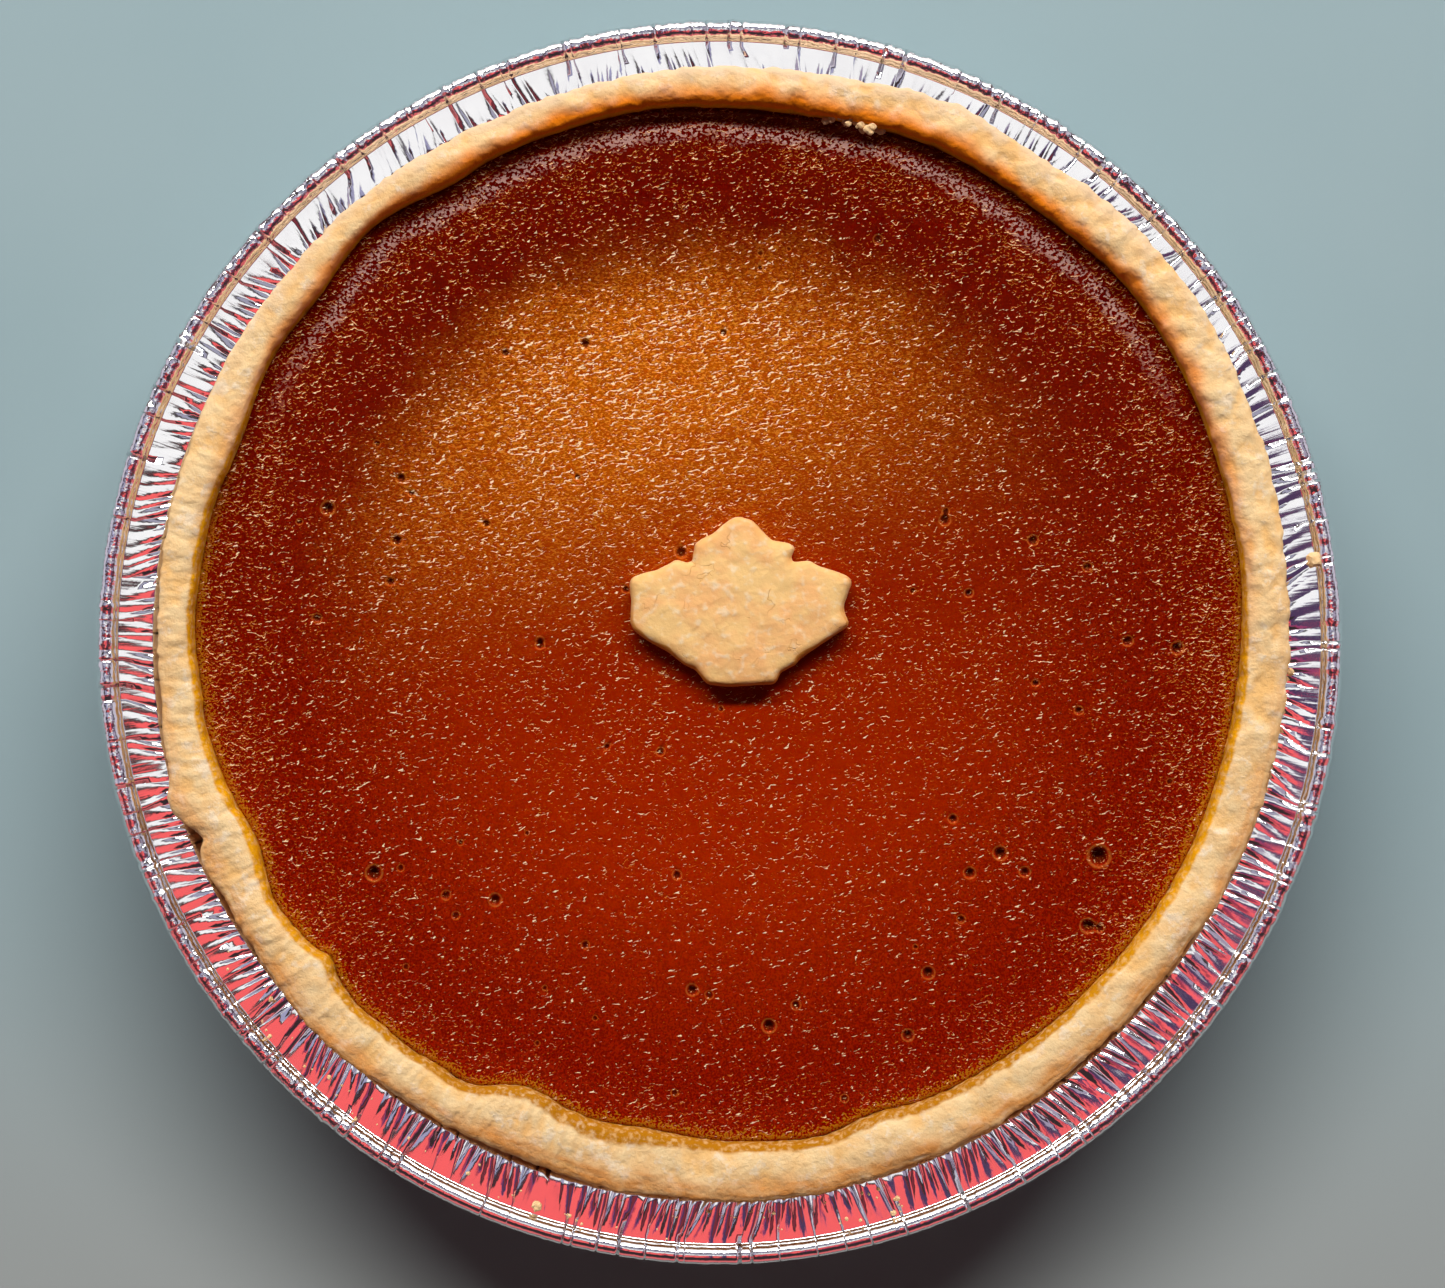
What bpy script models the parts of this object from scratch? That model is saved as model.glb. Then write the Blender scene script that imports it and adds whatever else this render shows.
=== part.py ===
"""Pumpkin pie baked and sold in its foil tin, with a pastry maple leaf on top.

Four pieces, each one solid: the pressed foil tin with pleated wall and ledge and a rolled rim,
the short pastry case whose uneven lip stands above the ledge, the set pumpkin custard that fills
the case, and the cut-out pastry leaf that lies on the custard. Metres, +Z up, origin at the
middle of the tin's base, with the leaf's tip towards +Y.
"""

import math
import random

import bmesh
import bpy

# Foil tin
TIN_BASE_RADIUS = 0.0920
TIN_WALL_TOP_RADIUS = 0.1108
TIN_LEDGE_RADIUS = 0.1184
TIN_RIM_RADIUS = 0.12225
TIN_CORNER_RISE = 0.0022
TIN_CORNER_RUN = 0.0009
TIN_WALL_TOP_HEIGHT = 0.0274
TIN_LEDGE_HEIGHT = 0.0284
TIN_FILLET_RUN = 0.0016
TIN_LEDGE_RISE = 0.0005
TIN_FOIL = 0.0003
TIN_STEPS = 220
BEAD_RADIUS = 0.0018
BEAD_LIFT = 0.0007
BEAD_START = 165.0
BEAD_SWEEP = 285.0
BEAD_ARC_STEPS = 6
PLEAT_DEPTH = 0.0004
PLEAT_LEAST_SHARE = 0.45
PLEAT_LEAN = 0.3
PLEAT_FULL_HEIGHT = 0.0088
PLEAT_TURN_RUN = 0.003
BEAD_CRIMP_SHARE = 0.35
PLEAT_SEED = 7

# Pastry case
PIECE_GAP = 0.0003
CASE_CLEARANCE = PLEAT_DEPTH + PIECE_GAP
SMALL = 0.0001
CASE_FLOOR = 0.0040
CASE_WALL = 0.0050
CASE_CORNER_RUN = 0.0020
CASE_CORNER_RISE = 0.0015
CASE_TOE_RUN = 0.0008
CASE_BEND_HEIGHT = 0.0160
CASE_STEPS = 120
LIP_INNER_RADIUS = 0.1024
LIP_OUTER_RADIUS = 0.1108
LIP_HEIGHT = 0.0329
LIP_UNDERSIDE = 0.0293
LIP_OUTER_ROLL = 0.0008
LIP_TUCK = 0.0004
LIP_ROUNDNESS = 0.7
LIP_ARC_STEPS = 7
LIP_WAVE = 0.0004
LIP_WAVES_ROUND = 14
LIP_SWELLS_ROUND = 5

# The lip lies off centre in the tin, and its hand-pressed edges bulge.
# A bulge is (angle in degrees, how far it moves outwards, half its width in degrees).
LIP_INNER_DRIFT = 0.0039
LIP_INNER_DRIFT_ANGLE = 90.0
LIP_OUTER_DRIFT = 0.0023
LIP_OUTER_DRIFT_ANGLE = 70.0
INNER_BULGES = (
    (10, 0.0008, 12),
    (28, 0.0006, 7),
    (40, 0.0016, 10),
    (66, 0.0011, 9),
    (97, 0.0007, 7),
    (120, -0.0009, 4),
    (130, 0.0013, 5),
    (140, -0.0007, 4),
    (157, -0.0016, 6),
    (179, 0.0009, 6),
    (203, -0.0019, 5),
    (210, 0.0011, 4),
    (232, 0.0012, 8),
    (241, 0.0013, 3),
    (247, -0.0034, 6),
    (261, -0.0018, 7),
    (281, 0.0007, 5),
    (288, -0.0012, 4),
    (335, 0.0004, 12),
)
OUTER_BULGES = (
    (38, 0.0025, 16),
    (67, 0.0017, 8),
    (110, -0.0007, 14),
    (195, 0.0025, 4),
    (201, -0.0010, 3),
    (224, 0.0013, 10),
    (276, 0.0011, 11),
    (317, -0.0012, 15),
)

# Custard filling
CUSTARD_EDGE_HEIGHT = 0.0277
CUSTARD_MOAT_RADIUS = 0.0720
CUSTARD_MOAT_HEIGHT = 0.0270
CUSTARD_CROWN = 0.0008
CUSTARD_SIDE_GAP = 0.00045
CUSTARD_RINGS = (0.0, 0.036, 0.056, 0.072, 0.088)

# Pastry leaf: its outline's corners, to the right of and above its middle
LEAF_MIDDLE = (0.0040, 0.0078)
LEAF_SIDE = 0.0032
LEAF_CORNERS = (
    (0.0001, 0.0167),
    (-0.0020, 0.0162),
    (-0.0050, 0.0135),
    (-0.0085, 0.0116),
    (-0.0092, 0.0081),
    (-0.0104, 0.0077),
    (-0.0122, 0.0084),
    (-0.0159, 0.0064),
    (-0.0207, 0.0053),
    (-0.0215, 0.0039),
    (-0.0212, -0.0040),
    (-0.0187, -0.0069),
    (-0.0139, -0.0096),
    (-0.0106, -0.0122),
    (-0.0087, -0.0129),
    (-0.0064, -0.0158),
    (0.0066, -0.0159),
    (0.0076, -0.0138),
    (0.0112, -0.0117),
    (0.0210, -0.0048),
    (0.0213, -0.0040),
    (0.0203, -0.0012),
    (0.0218, 0.0039),
    (0.0212, 0.0051),
    (0.0157, 0.0069),
    (0.0134, 0.0082),
    (0.0103, 0.0078),
    (0.0109, 0.0104),
    (0.0098, 0.0115),
    (0.0062, 0.0121),
    (0.0027, 0.0158),
)
# Each step of the puffed top: how far in from the last one, and how much higher
LEAF_TOP_STEPS = (
    (0.0003, 0.0007),
    (0.0006, 0.0005),
)
LEAF_CROWN_SHARE = 0.55
LEAF_CROWN_RISE = 0.0004

SHARP_ANGLE = 40.0
MERGE_DISTANCE = 0.00001


def clear_scene():
    for old in list(bpy.data.objects):
        bpy.data.objects.remove(old)


def smooth_step(value, low, high):
    share = min(1.0, max(0.0, (value - low) / (high - low)))
    return share * share * (3.0 - 2.0 * share)


def bulge_sum(bulges, angle):
    """The sum of bell-shaped bulges round the rim, at an angle in radians."""
    total = 0.0
    for centre, height, half_width in bulges:
        turn = (math.degrees(angle) - centre + 180.0) % 360.0 - 180.0
        total += height * math.exp(-((turn / half_width) ** 2))
    return total


def inner_edge_shift(angle):
    """How far the line between custard and lip lies outside LIP_INNER_RADIUS."""
    drift = LIP_INNER_DRIFT * math.cos(angle - math.radians(LIP_INNER_DRIFT_ANGLE))
    return drift + bulge_sum(INNER_BULGES, angle)


def outer_edge_shift(angle):
    """How far the lip's outer edge lies outside LIP_OUTER_RADIUS."""
    drift = LIP_OUTER_DRIFT * math.cos(angle - math.radians(LIP_OUTER_DRIFT_ANGLE))
    return drift + bulge_sum(OUTER_BULGES, angle)


def wall_radius(height):
    """Radius of the foil wall's inner face at a height above the base."""
    foot = TIN_BASE_RADIUS + TIN_CORNER_RUN
    share = (height - TIN_CORNER_RISE) / (TIN_WALL_TOP_HEIGHT - TIN_CORNER_RISE)
    return foot + min(1.0, share) * (TIN_WALL_TOP_RADIUS - foot)


def case_wall_radius(height):
    """Radius of the pastry's outer face, clear of the foil's pleats."""
    return wall_radius(height) - CASE_CLEARANCE


def custard_height(radius):
    """Height of the custard's top: a low crown in the middle and a rise at the crust."""
    if radius < CUSTARD_MOAT_RADIUS:
        share = radius / CUSTARD_MOAT_RADIUS
        return CUSTARD_MOAT_HEIGHT + CUSTARD_CROWN * (1.0 - share * share) ** 2
    share = (radius - CUSTARD_MOAT_RADIUS) / (LIP_INNER_RADIUS - CUSTARD_MOAT_RADIUS)
    rise = CUSTARD_EDGE_HEIGHT - CUSTARD_MOAT_HEIGHT
    return CUSTARD_MOAT_HEIGHT + rise * share * share


def make_material(name, colour, roughness, metallic=0.0):
    material = bpy.data.materials.new(name)
    material.use_nodes = True
    shader = material.node_tree.nodes["Principled BSDF"]
    shader.inputs["Base Color"].default_value = (*colour, 1.0)
    shader.inputs["Roughness"].default_value = roughness
    shader.inputs["Metallic"].default_value = metallic
    return material


def add_object(name, mesh, material, collection):
    mesh.materials.clear()
    mesh.materials.append(material)
    mesh.shade_smooth()
    mesh.set_sharp_from_angle(angle=math.radians(SHARP_ANGLE))
    made = bpy.data.objects.new(name, mesh)
    collection.objects.link(made)
    return made


def split_quads(piece, diagonal):
    """Splits every quad along one diagonal, so that two facing surfaces stay parallel."""
    split = piece.modifiers.new("split_quads", "TRIANGULATE")
    split.quad_method = diagonal


def mesh_of(blank):
    """The evaluated mesh of a helper object, which is then removed."""
    bpy.context.scene.collection.objects.link(blank)
    graph = bpy.context.evaluated_depsgraph_get()
    mesh = bpy.data.meshes.new_from_object(blank.evaluated_get(graph))
    bpy.data.objects.remove(blank)
    return mesh


def turned_mesh(name, profile, steps):
    """A mesh turned from a profile of (radius, height) points, which runs from axis to axis."""
    outline = bpy.data.meshes.new(name + "_profile")
    points = [(radius, 0.0, height) for radius, height in profile]
    outline.from_pydata(points, [(i, i + 1) for i in range(len(points) - 1)], [])
    blank = bpy.data.objects.new(name + "_profile", outline)
    screw = blank.modifiers.new("turn", "SCREW")
    screw.axis = "Z"
    screw.steps = steps
    screw.render_steps = steps
    screw.use_merge_vertices = True
    screw.merge_threshold = MERGE_DISTANCE
    return mesh_of(blank)


def reshape(mesh, move):
    """Moves each vertex to what move says for its radius, angle and height."""
    for vertex in mesh.vertices:
        x, y, z = vertex.co
        radius, angle, height = move(math.hypot(x, y), math.atan2(y, x) % math.tau, z)
        vertex.co = (radius * math.cos(angle), radius * math.sin(angle), height)
    mesh.update()


def parallel(points, distance):
    """The open line of points moved sideways by a distance, to the right of its direction."""
    moved = []
    for i, (radius, height) in enumerate(points):
        before = points[max(0, i - 1)]
        after = points[min(len(points) - 1, i + 1)]
        along = (after[0] - before[0], after[1] - before[1])
        length = math.hypot(*along)
        moved.append((
            radius + distance * along[1] / length,
            height - distance * along[0] / length,
        ))
    return moved


def tin_profile():
    """Inner face from the axis outwards, the rolled bead, then the outer face back to the axis."""
    inner = [
        (0.0, TIN_FOIL),
        (TIN_BASE_RADIUS - TIN_CORNER_RISE, TIN_FOIL),
        (wall_radius(TIN_CORNER_RISE), TIN_FOIL + TIN_CORNER_RISE),
        (TIN_WALL_TOP_RADIUS, TIN_WALL_TOP_HEIGHT),
        (TIN_WALL_TOP_RADIUS + TIN_FILLET_RUN, TIN_LEDGE_HEIGHT),
        (TIN_LEDGE_RADIUS, TIN_LEDGE_HEIGHT + TIN_LEDGE_RISE),
    ]
    outer = parallel(inner, TIN_FOIL)
    outer[0] = (0.0, 0.0)
    outer[1] = (outer[1][0], 0.0)
    bead_middle = TIN_RIM_RADIUS - BEAD_RADIUS
    bead_height = TIN_LEDGE_HEIGHT + TIN_LEDGE_RISE + BEAD_LIFT
    bead = []
    for step in range(BEAD_ARC_STEPS + 1):
        turn = math.radians(BEAD_START - BEAD_SWEEP * step / BEAD_ARC_STEPS)
        bead.append((
            bead_middle + BEAD_RADIUS * math.cos(turn),
            bead_height + BEAD_RADIUS * math.sin(turn),
        ))
    return inner + bead + outer[::-1]


def make_tin(collection, material):
    """Foil disc pressed to a pan: pleats stand in the wall and ledge, less in the bead."""
    mesh = turned_mesh("foil_tin", tin_profile(), TIN_STEPS)
    draw = random.Random(PLEAT_SEED)
    depths = []
    leans = []
    for step in range(TIN_STEPS):
        side = 1 if step % 2 else -1
        depths.append(side * PLEAT_DEPTH * draw.uniform(PLEAT_LEAST_SHARE, 1.0))
        leans.append(math.tau / TIN_STEPS * draw.uniform(-PLEAT_LEAN, PLEAT_LEAN))

    def pleat(radius, angle, height):
        step = round(angle * TIN_STEPS / math.tau) % TIN_STEPS
        up_the_wall = smooth_step(height, TIN_CORNER_RISE, PLEAT_FULL_HEIGHT)
        past_wall = radius + PLEAT_TURN_RUN / 3.0 - TIN_WALL_TOP_RADIUS
        on_the_ledge = smooth_step(past_wall, 0.0, PLEAT_TURN_RUN)
        on_the_bead = 1.0 if radius > TIN_LEDGE_RADIUS + SMALL else 0.0
        depth = depths[step] * (1.0 - (1.0 - BEAD_CRIMP_SHARE) * on_the_bead)
        return (
            radius - depth * up_the_wall * (1.0 - on_the_ledge),
            angle + leans[step] * up_the_wall,
            height + depth * on_the_ledge,
        )

    reshape(mesh, pleat)
    add_object("foil_tin", mesh, material, collection)


def lip_arc():
    """The lip's rounded top, from the custard's edge over to its outer edge."""
    half_width = 0.5 * (LIP_OUTER_RADIUS - LIP_INNER_RADIUS)
    outer_foot = LIP_UNDERSIDE + LIP_OUTER_ROLL
    points = []
    for step in range(LIP_ARC_STEPS + 1):
        turn = math.pi * (1.0 - step / LIP_ARC_STEPS)
        foot = CUSTARD_EDGE_HEIGHT if step < 0.5 * LIP_ARC_STEPS else outer_foot
        lift = max(0.0, math.sin(turn)) ** LIP_ROUNDNESS
        points.append((
            LIP_INNER_RADIUS + half_width * (1.0 + math.cos(turn)),
            foot + (LIP_HEIGHT - foot) * lift,
        ))
    return points


def case_profile():
    floor_bottom = TIN_FOIL + PIECE_GAP
    floor_top = floor_bottom + CASE_FLOOR
    under_fillet = TIN_WALL_TOP_HEIGHT - LIP_TUCK
    corner = floor_bottom + 1.5 * TIN_CORNER_RISE
    inner = [
        (0.0, floor_top),
        (case_wall_radius(floor_top) - CASE_WALL - CASE_CORNER_RUN, floor_top),
        (case_wall_radius(floor_top) - CASE_WALL, floor_top + CASE_CORNER_RISE),
        (case_wall_radius(CASE_BEND_HEIGHT) - CASE_WALL, CASE_BEND_HEIGHT),
    ]
    outer = [
        (LIP_OUTER_RADIUS - LIP_TUCK, LIP_UNDERSIDE),
        (case_wall_radius(TIN_LEDGE_HEIGHT), LIP_UNDERSIDE - LIP_TUCK),
        (case_wall_radius(under_fillet), under_fillet),
        (case_wall_radius(CASE_BEND_HEIGHT), CASE_BEND_HEIGHT),
        (case_wall_radius(corner), corner),
        (TIN_BASE_RADIUS - TIN_CORNER_RISE - CASE_TOE_RUN, floor_bottom),
        (0.0, floor_bottom),
    ]
    return inner + lip_arc() + outer


def make_case(collection, material):
    """Rolled pastry laid in the tin, its lip pressed by hand: the edges wander and bulge."""
    mesh = turned_mesh("pastry_crust", case_profile(), CASE_STEPS)

    def press(radius, angle, height):
        across = (radius - LIP_INNER_RADIUS) / (LIP_OUTER_RADIUS - LIP_INNER_RADIUS)
        across = min(1.0, max(0.0, across))
        shift = (1.0 - across) * inner_edge_shift(angle) + across * outer_edge_shift(angle)
        above_bend = (height - CASE_BEND_HEIGHT) / (CUSTARD_EDGE_HEIGHT - CASE_BEND_HEIGHT)
        radius += min(1.0, max(0.0, above_bend)) * shift
        if height < LIP_UNDERSIDE - SMALL:
            radius = min(radius, case_wall_radius(height))
        swell = math.sin(LIP_SWELLS_ROUND * angle + 1.0)
        wave = LIP_WAVE * swell * math.sin(LIP_WAVES_ROUND * angle)
        return radius, angle, height + wave * math.sin(math.pi * across)

    reshape(mesh, press)
    split_quads(add_object("pastry_crust", mesh, material, collection), "FIXED")


def make_filling(collection, material):
    """Pumpkin custard set in the case: it fills it from the floor to the line under the lip."""
    floor = TIN_FOIL + CASE_FLOOR + 2.0 * PIECE_GAP
    foot = case_wall_radius(floor) - CASE_WALL - CUSTARD_SIDE_GAP
    profile = [(radius, custard_height(radius)) for radius in CUSTARD_RINGS]
    profile += [
        (LIP_INNER_RADIUS - CUSTARD_SIDE_GAP, CUSTARD_EDGE_HEIGHT),
        (case_wall_radius(CASE_BEND_HEIGHT) - CASE_WALL - CUSTARD_SIDE_GAP, CASE_BEND_HEIGHT),
        (foot, floor + CASE_CORNER_RISE),
        (foot - CASE_CORNER_RUN, floor),
        (0.0, floor),
    ]
    mesh = turned_mesh("pumpkin_filling", profile, CASE_STEPS)

    def fit_case(radius, angle, height):
        on_the_top = height > CUSTARD_MOAT_HEIGHT - SMALL
        if on_the_top:
            share = smooth_step(radius, CUSTARD_MOAT_RADIUS, LIP_INNER_RADIUS - CUSTARD_SIDE_GAP)
        else:
            share = max(0.0, height - CASE_BEND_HEIGHT) / (CUSTARD_EDGE_HEIGHT - CASE_BEND_HEIGHT)
        return radius + share * inner_edge_shift(angle), angle, height

    reshape(mesh, fit_case)
    split_quads(add_object("pumpkin_filling", mesh, material, collection), "FIXED_ALTERNATE")


def leaf_slab(bottom):
    """The cut-out's flat outline, filled and given the height of its upright side."""
    outline = bpy.data.curves.new("leaf_outline", "CURVE")
    outline.dimensions = "2D"
    outline.fill_mode = "BOTH"
    outline.extrude = 0.5 * LEAF_SIDE
    spline = outline.splines.new("POLY")
    spline.points.add(len(LEAF_CORNERS) - 1)
    for point, (x, y) in zip(spline.points, LEAF_CORNERS):
        point.co = (LEAF_MIDDLE[0] + x, LEAF_MIDDLE[1] + y, 0.0, 1.0)
    spline.use_cyclic_u = True
    mesh = mesh_of(bpy.data.objects.new("leaf_outline", outline))
    slab = bmesh.new()
    slab.from_mesh(mesh)
    bmesh.ops.remove_doubles(slab, verts=slab.verts, dist=MERGE_DISTANCE)
    bmesh.ops.translate(slab, verts=slab.verts, vec=(0.0, 0.0, bottom + 0.5 * LEAF_SIDE))
    return slab


def make_leaf(collection, material):
    """Leaf cut from rolled pastry: flat below and upright at the side, with a puffed top."""
    bottom = custard_height(0.0) + PIECE_GAP
    slab = leaf_slab(bottom)
    slab.normal_update()
    top = [face for face in slab.faces if face.normal.z > 0.9]
    for inset, rise in LEAF_TOP_STEPS:
        bmesh.ops.inset_region(slab, faces=top, thickness=inset, use_even_offset=True)
        bmesh.ops.translate(slab, verts=list({v for f in top for v in f.verts}), vec=(0.0, 0.0, rise))
    bmesh.ops.inset_region(slab, faces=top, thickness=SMALL)
    for vertex in {v for f in top for v in f.verts}:
        vertex.co.x = LEAF_MIDDLE[0] + LEAF_CROWN_SHARE * (vertex.co.x - LEAF_MIDDLE[0])
        vertex.co.y = LEAF_MIDDLE[1] + LEAF_CROWN_SHARE * (vertex.co.y - LEAF_MIDDLE[1])
        vertex.co.z += LEAF_CROWN_RISE
    bmesh.ops.recalc_face_normals(slab, faces=slab.faces)
    mesh = bpy.data.meshes.new("pastry_leaf")
    slab.to_mesh(mesh)
    slab.free()
    add_object("pastry_leaf", mesh, material, collection)


def main():
    clear_scene()
    pie = bpy.data.collections.new("pumpkin_pie")
    bpy.context.scene.collection.children.link(pie)
    foil = make_material("aluminium_foil", (0.80, 0.81, 0.83), 0.22, 1.0)
    pastry = make_material("short_pastry", (0.83, 0.56, 0.26), 0.60)
    custard = make_material("pumpkin_custard", (0.32, 0.055, 0.004), 0.25)
    leaf_pastry = make_material("leaf_pastry", (0.87, 0.56, 0.24), 0.60)
    make_tin(pie, foil)
    make_case(pie, pastry)
    make_filling(pie, custard)
    make_leaf(pie, leaf_pastry)


main()
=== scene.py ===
import math

import bpy
import numpy as np
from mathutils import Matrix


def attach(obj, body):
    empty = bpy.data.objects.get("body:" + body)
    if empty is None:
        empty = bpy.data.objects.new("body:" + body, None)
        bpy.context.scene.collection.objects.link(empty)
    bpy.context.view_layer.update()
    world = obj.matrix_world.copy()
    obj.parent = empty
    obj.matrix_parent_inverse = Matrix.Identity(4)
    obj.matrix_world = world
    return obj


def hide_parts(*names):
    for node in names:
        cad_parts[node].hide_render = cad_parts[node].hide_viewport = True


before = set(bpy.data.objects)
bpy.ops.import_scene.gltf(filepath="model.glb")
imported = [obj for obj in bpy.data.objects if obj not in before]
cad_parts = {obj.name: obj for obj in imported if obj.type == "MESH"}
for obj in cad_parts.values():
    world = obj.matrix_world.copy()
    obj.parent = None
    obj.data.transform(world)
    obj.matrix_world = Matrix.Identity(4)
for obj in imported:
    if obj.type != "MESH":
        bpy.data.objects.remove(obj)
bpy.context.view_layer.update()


# Foil tin
# A disc of thin aluminium foil pressed into a pan in one stroke. The metal that the disc has
# too much of stands up as sharp, uneven pleats in the wall and the ledge, and the edge is
# rolled outwards to a bead, which gathers the pleats as deeper crimps.
FOIL_THICKNESS = 0.0003
BASE_RADIUS = 0.0920
BASE_CORNER_RADIUS = 0.0929
BASE_CORNER_HEIGHT = 0.0022
WALL_TOP_RADIUS = 0.1108
WALL_TOP_HEIGHT = 0.0274
LEDGE_START = 0.1117
LEDGE_HEIGHT = 0.0284
LEDGE_END = 0.1184
LEDGE_RISE = 0.0005
RIM_RADIUS = 0.12225
BEAD_RADIUS = 0.0018
BEAD_LIFT = 0.0007
BEAD_START, BEAD_SWEEP = 165.0, 285.0
BEAD_ROWS = 23
# Where the sheet has a row of points: radii and heights on the base, which has a low ring, then
# heights on the wall and shares of the ledge
BASE_ROWS = (
    (0.0, 0.0), (0.0300, 0.0), (0.0580, 0.0), (0.0600, 0.0003), (0.0620, 0.0), (0.0780, 0.0), (0.0898, 0.0))
WALL_ROWS = (BASE_CORNER_HEIGHT, 0.0090, 0.0160, 0.0215, 0.0245, 0.0262, WALL_TOP_HEIGHT)
LEDGE_ROWS = (0.16, 0.34, 0.52, 0.70, 0.86, 0.97, 1.0)
# The bend between wall and ledge: rows, and how far out and up of the wall's top its corner lies
BEND_ROWS = 5
BEND_CORNER = (0.0003, 0.0009)
# The pleats round the tin, with a crease beside each. The half widths are shares of the round:
# only their size against each other counts
PLEATS = 315
PLEAT_HEIGHT = 0.00009
PLEAT_HALF_WIDTHS = (0.45, 1.45)
CREASE_HALF_WIDTHS = (0.18, 0.36)
CREASE_DEPTH = 0.00012
# How many times higher a pleat is on the bead, and how much is added at the bend and in front
BEAD_CRIMPS = (2.0, 6.0)
BEND_PLEAT_GAIN = 3.5
FRONT_PLEAT_GAIN = 1.1
# How far the front of the wall leans in at its top
FRONT_DRAW_IN = 0.0015
# Noise in the sheet and in the bead: depth, size, and a shift that sets each layer apart
FOIL_DENTS = ((0.00003, 0.0080, 0.0), (0.00001, 0.0021, 0.3))
FOIL_CRUMPLES = ((0.00016, 0.0030, 0.0), (0.00006, 0.0015, 0.3))
FOIL_GREY = (0.86, 0.865, 0.88, 1.0)
FOIL_BRIGHT = (0.94, 0.94, 0.94, 1.0)
FOIL_ROUGHNESS = (0.07, 0.13)
# Heights of the bumps in millimetres: fine pleats, and crinkles on the sheet and on the bead
FINE_PLEAT_BUMP = 0.014
CRINKLE_BUMPS = (0.006, 0.14)

draw = np.random.default_rng(5)
LATTICE_ORDER = draw.permutation(256)
LATTICE_SLOPES = draw.normal(size=(256, 3))
LATTICE_SLOPES /= np.linalg.norm(LATTICE_SLOPES, axis=1, keepdims=True)


def waver(points, size):
    """Gradient noise: each corner of a lattice with cells of that size has a random slope, and a
    point takes the eight slopes round it, weighted by eased shares. Runs from about -1 to 1."""
    place = points / size
    cell = np.floor(place).astype(int)
    inside = place - cell
    ease = inside**3 * (inside * (inside * 6 - 15) + 10)
    total = np.zeros(points.shape[:-1])
    for corner in np.ndindex(2, 2, 2):
        x, y, z = np.moveaxis((cell + corner) % 256, -1, 0)
        slope = LATTICE_SLOPES[LATTICE_ORDER[(LATTICE_ORDER[(LATTICE_ORDER[x] + y) % 256] + z) % 256]]
        weight = np.prod(np.where(corner, ease, 1 - ease), axis=-1)
        total += weight * np.sum(slope * (inside - corner), axis=-1)
    return 1.6 * total


def relief(points, layers):
    """Noises of several sizes added up. Each layer has a depth, a size and a shift."""
    return sum(depth * waver(points + shift, size) for depth, size, shift in layers)


def eased(value, low, high):
    """0 below low, 1 above high, and a smooth step 3t^2 - 2t^3 between them."""
    share = np.clip((value - low) / (high - low), 0, 1)
    return share * share * (3 - 2 * share)


def round_points(radius, angle, height):
    """Points at a radius and an angle round a middle, and at a height."""
    return np.stack(np.broadcast_arrays(radius * np.cos(angle), radius * np.sin(angle), height), axis=-1)


def closed_skin(name, rows, **marks):
    """A closed mesh over a grid of points. Rows run from the top middle outwards and round to the
    bottom middle, columns run round, and the first and last rows close to one point each.
    Each mark is a grid of values that becomes a point attribute."""
    count, around = rows.shape[:2]
    inner = np.arange((count - 2) * around).reshape(count - 2, around) + 1
    after = np.roll(inner, -1, axis=1)
    quads = np.stack([inner[:-1], inner[1:], after[1:], after[:-1]], axis=-1).reshape(-1, 4)
    first, last = np.zeros(around, int), np.full(around, (count - 2) * around + 1)
    top = np.stack([first, inner[0], after[0]], axis=-1)
    bottom = np.stack([last, after[-1], inner[-1]], axis=-1)

    def in_order(grid):
        middle = grid[1:-1].reshape(-1, *grid.shape[2:])
        return np.concatenate([grid[0].mean(0)[None], middle, grid[-1].mean(0)[None]])

    mesh = bpy.data.meshes.new(name)
    mesh.from_pydata(in_order(rows), [], quads.tolist() + top.tolist() + bottom.tolist())
    for mark, grid in marks.items():
        values = mesh.attributes.new(mark, "FLOAT", "POINT").data
        values.foreach_set("value", in_order(grid).astype(np.float32))
    mesh.shade_smooth()
    return mesh


def new_object(name, data):
    """A mesh, light or camera put in the scene as an object."""
    made = bpy.data.objects.new(name, data)
    bpy.context.scene.collection.objects.link(made)
    return made


def add_piece(name, mesh, material, node=None):
    """Puts a finished mesh in the scene as a piece that rides on the pie."""
    mesh.materials.append(material)
    piece = new_object(name, mesh)
    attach(piece, "root")
    if node:
        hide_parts(node)
    return piece


def new_material(name, **sockets):
    """A Principled material; each keyword sets the socket of that name on its shader."""
    material = bpy.data.materials.new(name)
    material.use_nodes = True
    shader = material.node_tree.nodes["Principled BSDF"]
    for socket, value in sockets.items():
        shader.inputs[socket.replace("_", " ")].default_value = value
    return material, material.node_tree, shader


def join(shader, **outputs):
    """Joins each output to the shader's socket of that name."""
    for socket, output in outputs.items():
        shader.id_data.links.new(output, shader.inputs[socket.replace("_", " ")])


def add_node(tree, kind, sockets=(), **settings):
    """A shader node with its settings, each listed socket set to a value or joined to an output."""
    node = tree.nodes.new("ShaderNode" + kind)
    for setting, value in settings.items():
        setattr(node, setting, value)
    for socket, value in dict(sockets).items():
        if isinstance(value, bpy.types.NodeSocket):
            tree.links.new(value, node.inputs[socket])
        else:
            node.inputs[socket].default_value = value
    return node


def reckon(tree, operation, first, second=0.0):
    """The output of a Math node on two values or sockets."""
    return add_node(tree, "Math", {0: first, 1: second}, operation=operation).outputs[0]


def reckon_vector(tree, operation, first, second=(0.0, 0.0, 0.0)):
    """The vector output of a Vector Math node on two vectors or sockets."""
    return add_node(tree, "VectorMath", {0: first, 1: second}, operation=operation).outputs["Vector"]


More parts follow.
